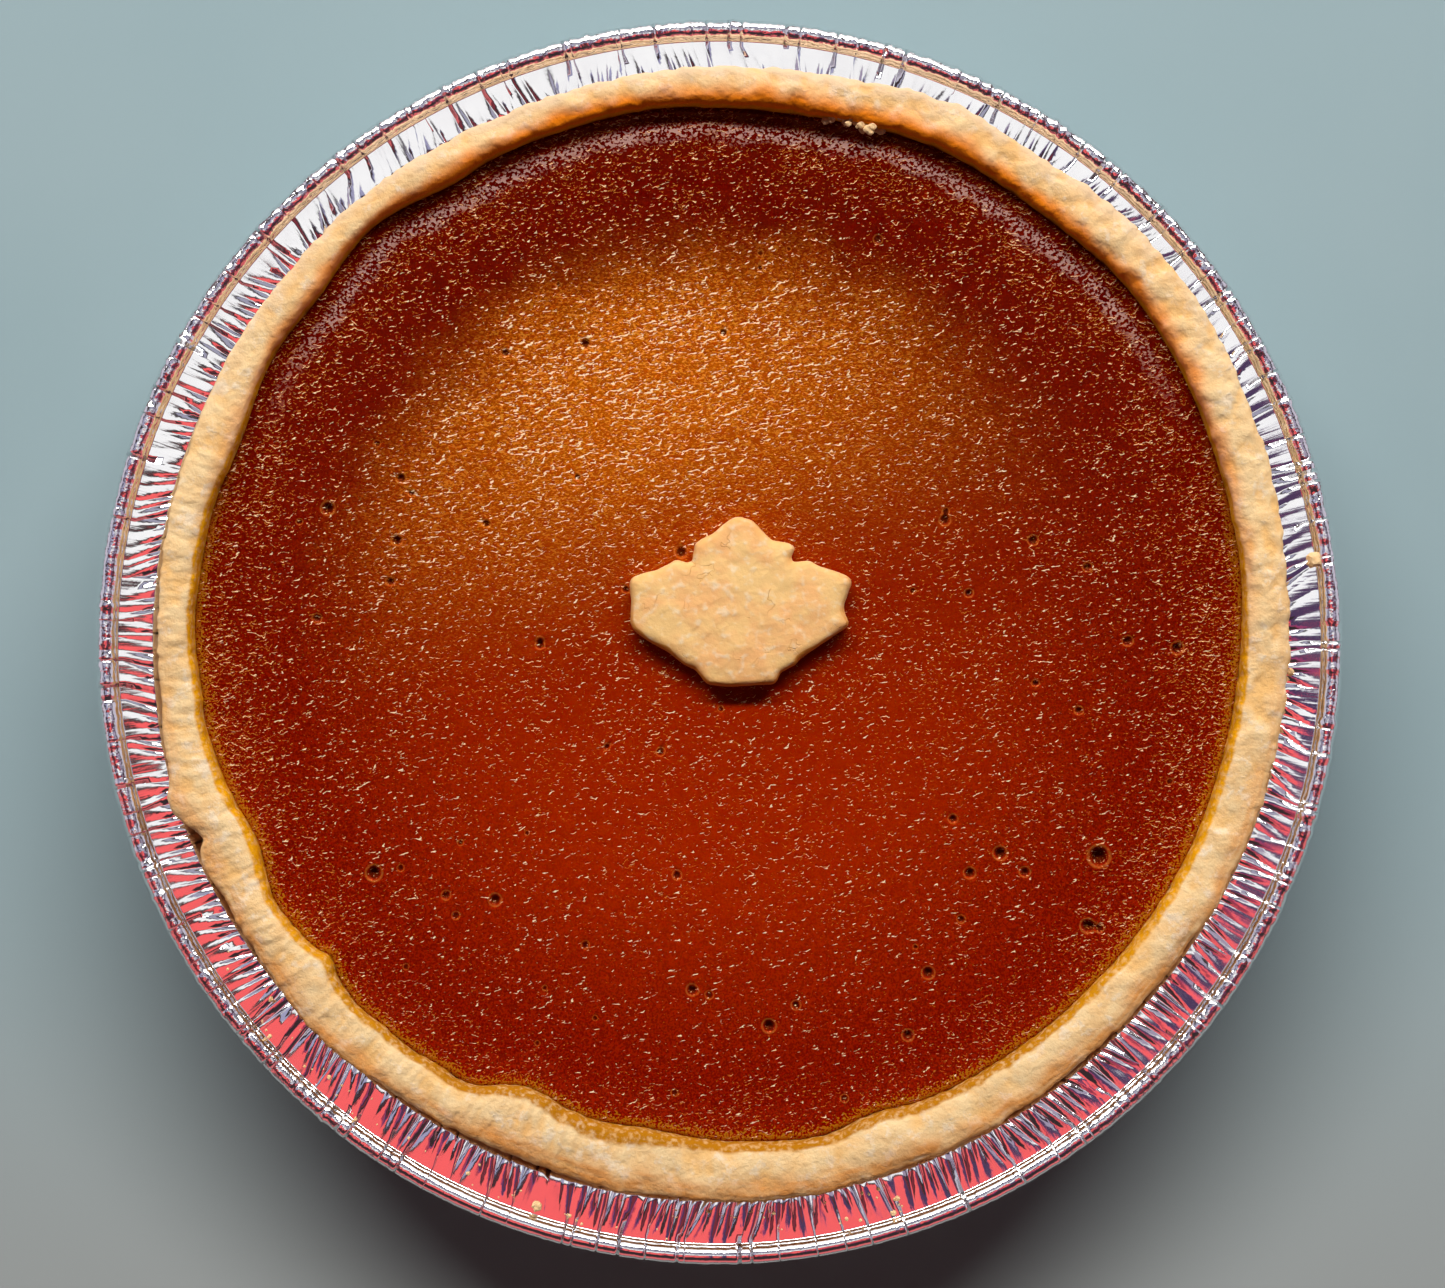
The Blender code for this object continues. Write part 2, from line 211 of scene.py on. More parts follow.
def spread(tree, value, low, high, to_low=0.0, to_high=1.0):
    """A value's smooth step between low and high, as a number between to_low and to_high."""
    sockets = {"Value": value, "From Min": low, "From Max": high, "To Min": to_low, "To Max": to_high}
    return add_node(tree, "MapRange", sockets, interpolation_type="SMOOTHSTEP").outputs["Result"]


def blend_colours(tree, share, first, second):
    """Two colours, or sockets, mixed by a share, which is 0 for the first and 1 for the second."""
    return add_node(tree, "Mix", {0: share, 6: first, 7: second}, data_type="RGBA").outputs[2]


def layer_colours(tree, colour, *layers):
    """A colour with others laid over it in turn, each by its share."""
    for share, over in layers:
        colour = blend_colours(tree, share, colour, over)
    return colour


def millimetres(tree):
    """Object coordinates in millimetres."""
    place = add_node(tree, "TexCoord").outputs["Object"]
    return add_node(tree, "Mapping", {"Vector": place, "Scale": (1000.0, 1000.0, 1000.0)}).outputs["Vector"]


def flattened(tree, place):
    """A place with its height left out."""
    return reckon_vector(tree, "MULTIPLY", place, (1.0, 1.0, 0.0))


def backward_place(tree, place):
    """How far a point lies behind the pie's middle, in millimetres."""
    return add_node(tree, "SeparateXYZ", {0: place}).outputs["Y"]


def point_mark(tree, name):
    """The values of a mesh's point attribute."""
    return add_node(tree, "Attribute", attribute_name=name).outputs["Fac"]


def scaled(tree, value, factor):
    """A value or socket times another."""
    return reckon(tree, "MULTIPLY", value, factor)


def added(tree, first, *others):
    """Values or sockets added up in turn."""
    for other in others:
        first = reckon(tree, "ADD", first, other)
    return first


def grain(tree, place, size, detail=2.0, roughness=0.5):
    """Noise whose blobs are about size millimetres across, from 0 to 1."""
    sockets = {"Vector": place, "Scale": 1.0 / size, "Detail": detail, "Roughness": roughness}
    return add_node(tree, "TexNoise", sockets).outputs["Fac"]


def raise_bump(tree, *heights):
    """A bump of heights in millimetres, added up."""
    sockets = {"Height": added(tree, *heights), "Distance": 0.001, "Strength": 1.0}
    return add_node(tree, "Bump", sockets).outputs["Normal"]


def tin_profile():
    """The sheet's inner face from the middle of the base to the ledge's end, the rolled bead, and
    its outer face back again. Returns each row's radius and height, its angle round the bead, and
    1 on the bead or 0 off it."""
    wall = np.array(WALL_ROWS)
    share = (wall - BASE_CORNER_HEIGHT) / (WALL_TOP_HEIGHT - BASE_CORNER_HEIGHT)
    wall_radius = BASE_CORNER_RADIUS + share * (WALL_TOP_RADIUS - BASE_CORNER_RADIUS)
    bend = np.linspace(0, 1, BEND_ROWS + 1)[1:]
    wall_top = np.array([WALL_TOP_RADIUS, WALL_TOP_HEIGHT])[:, None]
    corner = wall_top + np.array(BEND_CORNER)[:, None]
    ledge_start = np.array([LEDGE_START, LEDGE_HEIGHT])[:, None]
    bend_radius, bend_height = (
        (1 - bend) ** 2 * wall_top + 2 * bend * (1 - bend) * corner + bend**2 * ledge_start)
    ledge = np.array(LEDGE_ROWS)
    ledge_radius = LEDGE_START + ledge * (LEDGE_END - LEDGE_START)
    ledge_height = LEDGE_HEIGHT + ledge * LEDGE_RISE
    base_radius, ring = np.array(BASE_ROWS).T
    radius = np.concatenate([base_radius, wall_radius, bend_radius, ledge_radius])
    height = np.concatenate([
        ring + FOIL_THICKNESS, wall + FOIL_THICKNESS * (1 - share), bend_height, ledge_height])
    across = np.gradient(radius), np.gradient(height)
    length = np.hypot(*across)
    outer_radius = radius + FOIL_THICKNESS * across[1] / length
    outer_height = height - FOIL_THICKNESS * across[0] / length
    outer_radius[0] = 0.0
    outer_height[:len(ring)] = ring
    turn = np.radians(BEAD_START - BEAD_SWEEP * np.linspace(0, 1, BEAD_ROWS))
    bead_radius = RIM_RADIUS - BEAD_RADIUS + BEAD_RADIUS * np.cos(turn)
    bead_height = LEDGE_HEIGHT + LEDGE_RISE + BEAD_LIFT + BEAD_RADIUS * np.sin(turn)
    off_bead = np.zeros(len(radius))
    return (
        np.concatenate([radius, bead_radius, outer_radius[::-1]]),
        np.concatenate([height, bead_height, outer_height[::-1]]),
        np.concatenate([off_bead, turn, off_bead]),
        np.concatenate([off_bead, np.ones(BEAD_ROWS), off_bead]),
    )


def drawn_in(theta, height):
    """How far the top of the wall leans inwards at the front: a smooth step up the wall, times a
    smooth step towards the front."""
    return FRONT_DRAW_IN * eased(-np.sin(theta), 0.20, 0.70) * eased(height, 0.0200, WALL_TOP_HEIGHT)


def pleat_columns():
    """Where the creases run, four to a pleat: the bottom of the crease beside it, its left foot, its
    top and its right foot. Returns their angles in degrees and heights, how far each leans and
    tapers, and how much higher it is on the bead."""
    before, after = draw.uniform(*CREASE_HALF_WIDTHS, (2, PLEATS))
    left, right = draw.uniform(*PLEAT_HALF_WIDTHS, (2, PLEATS))
    steps = np.stack([before, after, left, right], axis=1)
    ends = np.cumsum(steps.ravel())
    angle = 360 * ends / ends[-1]
    tall = PLEAT_HEIGHT * draw.uniform(0.3, 0.8, PLEATS) * (0.5 + 0.5 * (left + right))
    foot = PLEAT_HEIGHT * draw.uniform(-0.35, 0.35, (2, PLEATS))
    deep = -CREASE_DEPTH * draw.random(PLEATS) ** 1.5
    height = np.stack([deep, foot[0], tall, foot[1]], axis=1).ravel()
    room = np.minimum(np.diff(angle, prepend=angle[-1] - 360), np.diff(angle, append=angle[0] + 360))
    lean = draw.uniform(-0.30, 0.30, 4 * PLEATS) * room + np.repeat(draw.uniform(-0.45, 0.45, PLEATS), 4)
    taper = np.repeat(draw.uniform(-0.5, 0.5, PLEATS), 4)
    taper[::4] = -0.4
    low, high = BEAD_CRIMPS
    crimp = np.repeat(low + (high - low) * draw.random(PLEATS) ** 1.5, 4)
    return angle, height, lean, taper, crimp


def make_tin():
    """The profile turned over the creases' angles. Each crease leans as it runs outwards, and is
    raised along the sheet's normal by its height, which tapers towards the wall or the bead, is
    greater on the bend and on the front of the ledge, and becomes a crimp on the bead. Noise dents
    the sheet, and crumples the bead except at the front."""
    radius, height, turn, on_bead = (values[:, None] for values in tin_profile())
    angle, crease, lean, taper, crimp = pleat_columns()
    forwards = -np.sin(np.radians(angle))
    outwards = np.clip((radius - LEDGE_START + 0.001) / (LEDGE_END - LEDGE_START), 0, 1)
    up_the_wall = eased(height, 0.0030, 0.0150) * (radius > 0.08)
    on_ledge = eased(radius, WALL_TOP_RADIUS - 0.0004, LEDGE_START)
    on_bend = np.exp(-(((radius - WALL_TOP_RADIUS - 0.0008) / 0.0012) ** 2)) * (height > 0.0262)

    smooth_lean = 0.9 * np.sin(np.radians(angle * 5.0)) + 0.7 * np.sin(np.radians(angle * 13.0 + 40.0))
    turned = np.radians(angle + (2 * outwards - 1) * (lean + 0.5 * smooth_lean) * up_the_wall)

    lift = crease * (1 + taper * (2 * outwards - 1)) * up_the_wall * (0.5 + 0.5 * np.sin(np.pi * outwards))
    lift *= 1 + FRONT_PLEAT_GAIN * eased(forwards, 0.2, 0.8) * np.sin(np.pi * outwards) ** 0.5
    crumple = 1 - 0.7 * eased(forwards, 0.60, 0.95)
    bend_gain = BEND_PLEAT_GAIN * (0.25 + 0.75 * eased(forwards, -0.8, 0.3))
    lift *= np.where(on_bead > 0, crimp * crumple, 1 + bend_gain * on_bend)
    flat = round_points(radius, turned, height)
    dents, crumples = relief(flat, FOIL_DENTS), relief(flat, FOIL_CRUMPLES)
    lift = lift + np.where(on_bead > 0, crumples * crumple, dents * up_the_wall)

    leaning = drawn_in(turned, height) * (1 - eased(outwards, 0.1, 0.9)) * (on_bead == 0)
    radius = radius + lift * np.where(on_bead > 0, np.cos(turn), -(1 - on_ledge)) - leaning
    height = height + lift * np.where(on_bead > 0, np.sin(turn), on_ledge)
    return closed_skin("foil_tin_skin", round_points(radius, turned, height), crumpled=on_bead * crumple)


def foil_material():
    """Bright aluminium foil: a mirror that is a little frosted in patches, with fine pleats that run
    outwards and crinkles that are deeper on the crumpled bead."""
    material, tree, shader = new_material("aluminium_foil", Metallic=1.0)
    place = millimetres(tree)
    frosted = spread(tree, grain(tree, place, 9.0, 3.0), 0.3, 0.7, *FOIL_ROUGHNESS)
    colour = blend_colours(tree, grain(tree, place, 4.0), FOIL_GREY, FOIL_BRIGHT)
    outwards = reckon_vector(tree, "NORMALIZE", flattened(tree, place))
    on_ledge = reckon_vector(tree, "MULTIPLY", outwards, (115.0, 115.0, 0.0))
    fine_pleats = scaled(tree, grain(tree, on_ledge, 0.6, 1.0), FINE_PLEAT_BUMP)
    depth = spread(tree, point_mark(tree, "crumpled"), 0.0, 1.0, *CRINKLE_BUMPS)
    crinkles = scaled(tree, grain(tree, place, 0.9, 2.0), depth)
    join(shader, Base_Color=colour, Roughness=frosted, Normal=raise_bump(tree, fine_pleats, crinkles))
    return material


foil_tin = add_piece("foil_tin_skin", make_tin(), foil_material(), "foil_tin")


# Pastry crust
# Short pastry rolled out and laid in the tin, in one piece with its floor. Its lip was trimmed
# and pressed by hand, so both edges wander and bulge. Baked, it is lumpy, floury and mottled,
# browner along its outer edge, and stained where the custard rose against it.
CRUST_COLUMNS = 1440
CRUST_FLOOR_BOTTOM = 0.0006
CRUST_FLOOR_TOP = 0.0046
CRUST_WALL = 0.0050
CRUST_CLEARANCE = 0.0007
CRUST_BEND_HEIGHT = 0.0160
LIP_INNER_RADIUS = 0.1024
LIP_OUTER_RADIUS = 0.1108
LIP_HEIGHT = 0.0329
LIP_UNDERSIDE = 0.0293
LIP_OUTER_FOOT = 0.0301
LIP_ROUNDNESS = 0.34
LIP_ROWS = 34
# Heights of the rows of points on the inner wall above the bend, and down the outer wall
CRUST_INSIDE_ROWS = (0.0225, 0.0262)
CRUST_OUTSIDE_ROWS = (0.0269, 0.0235, 0.0200, CRUST_BEND_HEIGHT, 0.0090, 0.0036)
CUSTARD_EDGE_HEIGHT = 0.0277
# How far each edge of the lip drifts off the tin's middle, with the angle of the drift. Then its
# bulges: angle in degrees, how far the bulge moves it outwards, half the bulge's width in degrees
LIP_INNER_DRIFT, LIP_OUTER_DRIFT = (0.0039, 90.0), (0.0023, 70.0)
INNER_BULGES = (
    (10, 0.0008, 12), (28, 0.0006, 7), (40, 0.0016, 10), (66, 0.0011, 9), (97, 0.0007, 7),
    (120, -0.0009, 4), (130, 0.0013, 5), (140, -0.0007, 4), (157, -0.0016, 6), (179, 0.0009, 6),
    (189, 0.0007, 3), (203, -0.0019, 5), (210, 0.0011, 4), (219, -0.0016, 1.6), (225, 0.0007, 2.5),
    (232, 0.0012, 8), (241, 0.0016, 3), (247, -0.0034, 6), (261, -0.0018, 7), (281, 0.0007, 5),
    (288, -0.0012, 4), (335, 0.0004, 12), (88, -0.0012, 32),
)
OUTER_BULGES = (
    (15, 0.0006, 5), (38, 0.0025, 16), (48, 0.0004, 5), (67, 0.0017, 8), (110, -0.0007, 14),
    (193, 0.0010, 6), (196.6, 0.0021, 2.2), (200.6, -0.0016, 1.3), (203, 0.0008, 3), (224, 0.0013, 10),
    (259, 0.0008, 4), (276, 0.0011, 11), (317, -0.0012, 15),
)
# Noise on the lip's edges: depth, size and shift
OUTER_RAGS = ((0.00040, 0.0048, 0.0), (0.00030, 0.0019, 0.5))
INNER_RAGS = ((0.00022, 0.0050, 0.9), (0.00020, 0.0021, 1.4))
# Noise on the lip: depth, the depth added at the upper right, size and shift
CRUST_LUMPS = ((0.00038, 0.0, 0.0085, 0.0), (0.00022, 0.00030, 0.0036, 0.2), (0.00009, 0.00010, 0.0014, 0.7))
# Creases across the lip and layers along it: depth, and width of one along the rim
CREASES, LAYERS = (0.00024, 0.0014), (0.00022, 0.0090)
CRUST_PALE = (0.95, 0.69, 0.37, 1.0)
CRUST_BAKED = (0.91, 0.53, 0.21, 1.0)
# Painted orange glow of light on the shaded inner slope at the back
CRUST_PAINTED_GLOW = (0.96, 0.25, 0.009, 1.0)
CRUST_TOASTED = (0.82, 0.34, 0.09, 1.0)
CRUST_FLOURED_EDGE = (0.80, 0.60, 0.40, 1.0)
# Painted golden shade in the dips between the lumps
CRUST_PAINTED_CREASE_SHADE = (0.96, 0.52, 0.15, 1.0)
CRUST_FLOURY = (0.96, 0.79, 0.58, 1.0)
# The custard's stain, painted lighter than in front where the lip's inner face lies in shade
CUSTARD_STAIN_PAINTED_LIGHTER = (0.82, 0.36, 0.006, 1.0)
CUSTARD_FRONT_STAIN = (0.46, 0.175, 0.006, 1.0)
CRUST_ROUGHNESS = (0.52, 0.72)
# Heights of the bumps in millimetres
CRUST_CRUMB_BUMP, CRUST_FLAKE_BUMP = 0.17, 0.40


def edge_shift(bulges, drift, degrees):
    """How far a lip edge lies off its round: a drift towards one side, as a cosine, and bell-shaped
    bulges round the rim."""
    reach, towards = drift
    shift = reach * np.cos(np.radians(degrees - towards))
    for centre, height, half_width in bulges:
        turn = (degrees - centre + 180.0) % 360.0 - 180.0
        shift = shift + height * np.exp(-((turn / half_width) ** 2))
    return shift


def crust_outer_radius(height):
    """Radius of the pastry's outer face in the tin's cone, clear of the pleats."""
    share = np.clip((height - BASE_CORNER_HEIGHT) / (WALL_TOP_HEIGHT - BASE_CORNER_HEIGHT), 0, 1)
    return BASE_CORNER_RADIUS + share * (WALL_TOP_RADIUS - BASE_CORNER_RADIUS) - CRUST_CLEARANCE


def lip_edges(theta):
    """Radii of the lip's inner and outer edge round the rim: a round, its drift and its bulges, with
    ragged noise."""
    degrees = np.degrees(theta)
    round_the_rim = round_points(LIP_OUTER_RADIUS, theta, 0.0)
    inner = LIP_INNER_RADIUS + edge_shift(INNER_BULGES, LIP_INNER_DRIFT, degrees)
    outer = LIP_OUTER_RADIUS + edge_shift(OUTER_BULGES, LIP_OUTER_DRIFT, degrees)
    return inner + relief(round_the_rim, INNER_RAGS), outer + relief(round_the_rim, OUTER_RAGS)


def crust_rows(theta):
    """The case's section carried round: floor, inner wall, the lip's arch between its two wandering
    edges, the outer wall and the bottom. Returns the points, each row's share of the way across the
    lip, and 1 on the rows that show."""
    inner, outer = lip_edges(theta)
    swell = 0.0004 * np.sin(5 * theta + 1.0) * np.sin(14 * theta)
    share = 0.5 - 0.5 * np.cos(np.pi * np.linspace(0, 1, LIP_ROWS)[:, None])
    turn = np.pi * (1 - np.linspace(0, 1, LIP_ROWS)[:, None])
    arch = np.sin(turn).clip(0) ** LIP_ROUNDNESS
    foot = np.where(turn > np.pi / 2, CUSTARD_EDGE_HEIGHT, LIP_OUTER_FOOT)
    lip_radius = inner + share * (outer - inner)
    lip_height = foot + (LIP_HEIGHT - foot) * arch + swell * np.sin(np.pi * share)

    def level(radius, height):
        return np.broadcast_to(radius, theta.shape), np.broadcast_to(height, theta.shape)

    def outer_wall(height):
        return np.minimum(outer - 0.0005, crust_outer_radius(height) - drawn_in(theta, height))

    floor_corner = crust_outer_radius(CRUST_FLOOR_TOP) - CRUST_WALL
    wall = crust_outer_radius(CRUST_BEND_HEIGHT) - CRUST_WALL
    steps = [
        level(0.0, CRUST_FLOOR_TOP), level(floor_corner - 0.002, CRUST_FLOOR_TOP),
        level(floor_corner, CRUST_FLOOR_TOP + 0.0015), level(wall, CRUST_BEND_HEIGHT)]
    for height in CRUST_INSIDE_ROWS:
        above_bend = (height - CRUST_BEND_HEIGHT) / (CUSTARD_EDGE_HEIGHT - CRUST_BEND_HEIGHT)
        steps.append(level(wall + above_bend * (inner - wall), height))
    before = len(steps)
    steps += list(zip(lip_radius, lip_height))
    after = len(steps)
    steps.append(level(outer - 0.0004, LIP_UNDERSIDE))
    steps.append(level(outer_wall(LEDGE_HEIGHT), LIP_UNDERSIDE - 0.0004))
    steps += [level(outer_wall(height), height) for height in CRUST_OUTSIDE_ROWS]
    steps.append(level(BASE_RADIUS - 0.003, CRUST_FLOOR_BOTTOM))
    steps.append(level(0.0, CRUST_FLOOR_BOTTOM))
    radius = np.stack([step[0].reshape(-1) for step in steps])
    height = np.stack([step[1].reshape(-1) for step in steps])

    across = np.zeros(len(steps))
    across[before:after] = np.linspace(0, 1, LIP_ROWS)
    across[after:] = 1.0
    showing = np.zeros(len(steps))
    showing[before + 1:after + 2] = 1.0
    return round_points(radius, theta, height), across[:, None] + 0 * theta, showing[:, None]


def crust_relief(theta, rows, across, showing):
    """How far noise pushes the pastry out: lumps and a crumb that are rougher at the upper right,
    creases across the lip at the lower left, and flaky layers along the outer side in front.
    Returns it and the layers."""
    rough_side = eased(np.cos(theta - math.radians(45.0)), 0.0, 0.9)
    lumps = 0.0
    for depth, more, size, shift in CRUST_LUMPS:
        lumps = lumps + (depth + more * rough_side) * waver(rows + shift, size)
    along = LIP_OUTER_RADIUS * theta + 0.0015 * waver(rows, 0.012)
    crease_depth, crease_width = CREASES
    creased = waver(np.stack([along / crease_width, 2.2 * across, 0 * along], axis=-1), 1.0)
    creases = crease_depth * creased * eased(-np.cos(theta - math.radians(35.0)), 0.0, 0.9)
    layer_depth, layer_width = LAYERS
    layered = waver(np.stack([along / layer_width, 16.0 * across, 0 * along], axis=-1), 1.0)
    flakes = layer_depth * layered * eased(-np.sin(theta), 0.5, 0.9) * eased(across, 0.60, 0.80)
    lift = (lumps + creases + flakes) * showing * (0.35 + 0.65 * np.sin(np.pi * across).clip(0))
    return lift, layered


def crust_colouring(theta, rows, across, layered):
    """Shares of three colourings, each a smooth step across the lip with a wandering edge: the
    custard's stain along the inner edge, toast along the outer edge, and a painted orange glow of
    light on the inner slope at the back, which lies in shade."""
    degrees = np.degrees(theta)
    stain_width = 0.05 + 0.16 * eased(np.cos(np.radians(degrees - 262.0)), -0.45, 0.0)
    stain_width = stain_width + 0.09 * np.exp(-(((degrees - 257.0) / 8.0) ** 2))
    stain_edge = across + 0.03 * waver(rows, 0.004) + 0.02 * waver(rows, 0.0015)
    at_back = eased(np.sin(theta), 0.3, 0.9)
    toast = eased(across + 0.10 * waver(rows, 0.006), 0.48, 0.74) * eased(-np.sin(theta), -0.3, 0.7)
    toast = toast * (0.9 + 0.9 * layered).clip(0, 1) + 0.12 * at_back * eased(across, 0.3, 0.6)
    # A painted orange glow of light on the inner slope at the back, which lies in shade
    painted_back_glow_width = 0.45 + 0.17 * eased(np.sin(theta), 0.75, 1.0)
    painted_back_glow = 1 - eased((across + 0.10 * waver(rows, 0.005)) / painted_back_glow_width, 0.4, 1.0)
    painted_back_glow = painted_back_glow * eased(np.sin(theta + math.radians(6.0)), -0.1, 0.9)
    return {"stain": 1 - eased(stain_edge, stain_width, stain_width + 0.05), "toast": toast, "painted_back_glow": painted_back_glow}


def make_crust():
    """The case's points, each pushed out along the lip's arch by the relief. The dips between the
    lumps, which get painted golden shade, and flour on the back's outer edge are marked for the
    material, beside its other colourings."""
    theta = np.linspace(0, 2 * np.pi, CRUST_COLUMNS, endpoint=False)[None]
    rows, across, showing = crust_rows(theta)
    lift, layered = crust_relief(theta, rows, across, showing)
    # Where the relief sinks: painted golden shade in the dips
    dip = eased(-lift * showing, 0.0, 0.0003)
    flour = eased(np.sin(theta), 0.3, 0.9) * eased(across + 0.15 * waver(rows, 0.004), 0.50, 0.80)
    slope = np.pi * across
    rows[..., 0] -= lift * np.cos(slope) * np.cos(theta)
    rows[..., 1] -= lift * np.cos(slope) * np.sin(theta)
    rows[..., 2] += lift * np.sin(slope)
    colouring = crust_colouring(theta, rows, across, layered)
    return closed_skin("pastry_crust_skin", rows, dip=dip, flour=flour, **colouring)


def crust_material():
    """Baked short pastry: floury and pale, with soft browner blotches, a toasted outer edge and a
    custard stain along the inner one, painted lighter away from the front where the lip's inner
    face lies in shade. Its dips have painted golden shade and the inner slope at the back a painted
    orange glow of light. It is matt, with a fine crumb in relief."""
    material, tree, shader = new_material("baked_pastry", Specular_IOR_Level=0.01)
    place = millimetres(tree)
    blotches = spread(tree, grain(tree, place, 5.0, 4.0, 0.6), 0.35, 0.68)
    floury = spread(tree, grain(tree, place, 3.2, 3.0, 0.65), 0.52, 0.68, 0.0, 0.75)
    specks = spread(tree, grain(tree, place, 1.1, 3.0, 0.7), 0.58, 0.75, 0.0, 0.15)
    patchy = spread(tree, grain(tree, place, 2.6, 3.0), 0.3, 0.6, 0.60, 1.0)
    speckled = spread(tree, grain(tree, place, 1.1, 3.0), 0.30, 0.56, 0.55, 1.0)
    # The stain is painted lighter away from the front, where the lip's inner face lies in shade
    in_front = spread(tree, backward_place(tree, place), -92.0, -40.0)
    stain_with_painted_light = blend_colours(tree, in_front, CUSTARD_FRONT_STAIN, CUSTARD_STAIN_PAINTED_LIGHTER)
    colour = layer_colours(
        tree, CRUST_PALE,
        (scaled(tree, blotches, 0.55), CRUST_BAKED),
        (floury, CRUST_FLOURY),
        (specks, CRUST_TOASTED),
        (scaled(tree, point_mark(tree, "flour"), 0.85), CRUST_FLOURED_EDGE),
        # Painted golden shade in the dips
        (scaled(tree, point_mark(tree, "dip"), 0.6), CRUST_PAINTED_CREASE_SHADE),
        # Painted orange glow of light on the shaded inner slope at the back
        (point_mark(tree, "painted_back_glow"), CRUST_PAINTED_GLOW),
        (scaled(tree, point_mark(tree, "toast"), patchy), CRUST_TOASTED),
        (scaled(tree, point_mark(tree, "stain"), speckled), stain_with_painted_light))
    crumb = scaled(tree, grain(tree, place, 0.8, 4.0, 0.65), CRUST_CRUMB_BUMP)
    flakes = scaled(tree, grain(tree, place, 2.4, 3.0, 0.6), CRUST_FLAKE_BUMP)
    rough = spread(tree, grain(tree, place, 2.0), 0.3, 0.7, *CRUST_ROUGHNESS)
    join(shader, Base_Color=colour, Roughness=rough, Normal=raise_bump(tree, crumb, flakes))
    return material


pastry_crust = add_piece("pastry_crust_skin", make_crust(), crust_material(), "pastry_crust")


# Pumpkin filling
# Pumpkin, cream and egg set in the oven to a smooth custard. Its skin is glossy and finely
# pitted, densest against the crust, with burst bubbles, and a deeper, redder brown towards the
# edge than in the middle. The window's light on it is painted into its colour as a golden arc,
# pale glints on the pits and the bubbles' rims and a mauve reflection inside the back edge,
# and shade is painted into the bubbles and the deep pits.
CUSTARD_COLUMNS = 840
CUSTARD_RINGS = 108
CUSTARD_FLOOR = 0.0049
CUSTARD_SIDE_GAP = 0.00045
CUSTARD_EDGE_GAP = 0.0001
CUSTARD_MOAT_RADIUS = 0.0720
CUSTARD_MOAT_HEIGHT = 0.0270
CUSTARD_CROWN = 0.0008
CUSTARD_MENISCUS = 0.0007
# Slow swells of its top: depth, size and shift
CUSTARD_SWELLS = ((0.00010, 0.022, 0.0), (0.00004, 0.006, 0.4))
# A bubble's depth, and the height, middle and half width of the rim round it, all in its radii
BUBBLE_DEPTH = 0.85
BUBBLE_RIM = (0.14, 1.2, 0.22)
SMALL_BUBBLES = 36
SMALL_BUBBLE_REACH = 0.094
SMALL_BUBBLE_RADII = (0.5, 0.9)
# The burst bubbles that stand out: place to the right and back, and radius, in millimetres
BURST_BUBBLES = (
    (-35.4, 0.5, 1.0), (-26.5, 59.1, 1.1), (-42.3, 57.3, 0.9), (-68.2, -45.5, 1.5), (-44.3, -50.8, 1.2),
    (-54.0, -49.9, 0.9), (-8.4, -45.9, 0.9), (-26.5, -59.7, 0.8), (-5.4, -68.6, 1.1), (-2.0, -69.6, 0.8),
    (9.8, -75.7, 1.3), (15.1, -71.6, 0.9), (37.2, -77.5, 1.1), (41.2, -65.2, 1.2), (49.4, -45.5, 1.1),
    (46.1, -34.8, 0.9), (55.4, -41.6, 1.3), (60.3, -45.3, 1.0), (74.9, -42.2, 2.0), (72.7, -55.9, 1.4),
    (61.9, 20.2, 1.0), (72.7, 14.9, 0.9), (44.5, 24.2, 1.1), (31.3, 79.6, 0.9), (80.6, 0.3, 1.0),
    (90.3, -1.1, 1.2), (-63.7, 20.2, 1.1), (-65.0, 12.1, 0.9), (-77.3, 26.5, 1.3), (-62.9, 32.5, 1.0),
    (-79.5, 4.8, 0.9), (-7.6, 17.9, 1.2),
)
CUSTARD_DARK = (0.120, 0.0012, 0.0002, 1.0)
CUSTARD_DEEP = (0.320, 0.0090, 0.0002, 1.0)
CUSTARD_RED = (0.47, 0.0270, 0.0002, 1.0)
# Painted light: the golden arc, pale glints, a speckle in the arc and a mauve reflection
CUSTARD_PAINTED_GLOW = (0.60, 0.140, 0.0015, 1.0)
CUSTARD_PAINTED_GLINT = (1.0, 0.62, 0.31, 1.0)
CUSTARD_PAINTED_PALE_GLINT = (1.0, 0.72, 0.43, 1.0)
CUSTARD_PAINTED_FINE_GLINT = (0.80, 0.33, 0.050, 1.0)
CUSTARD_PAINTED_SPECKLE = (0.90, 0.34, 0.028, 1.0)
CUSTARD_PAINTED_REFLECTION = (0.52, 0.30, 0.26, 1.0)
CUSTARD_GLOSS = (1.0, 0.22, 0.06, 1.0)
# Painted shade in the bubbles' hollows
CUSTARD_PAINTED_HOLLOW_SHADE = (0.085, 0.006, 0.001, 1.0)
# The painted golden arc of light: its angle in degrees, and where it begins and ends from the
# middle, in millimetres
GLOW_ANGLE = 106.0
GLOW_INSIDE, GLOW_OUTSIDE = (15.0, 61.0), (68.0, 93.0)
GLOW_WANDER = 14.0
# The pits, wide, fine and in the painted glow: width and depth in millimetres, the level of the
# noise at which one opens, and how thin its painted glint is
WIDE_PITS = (0.90, 0.045, 0.624, 0.050)
FINE_PITS = (0.50, 0.022, 0.610, 0.055)
GLOW_PITS = (0.72, 0.030, 0.680, 0.110)
# How much busy places on the custard add to the noise of the wide and of the fine pits
WIDE_CROWDING, FINE_CROWDING = 0.045, 0.095
CUSTARD_SWELL_BUMP = 0.16


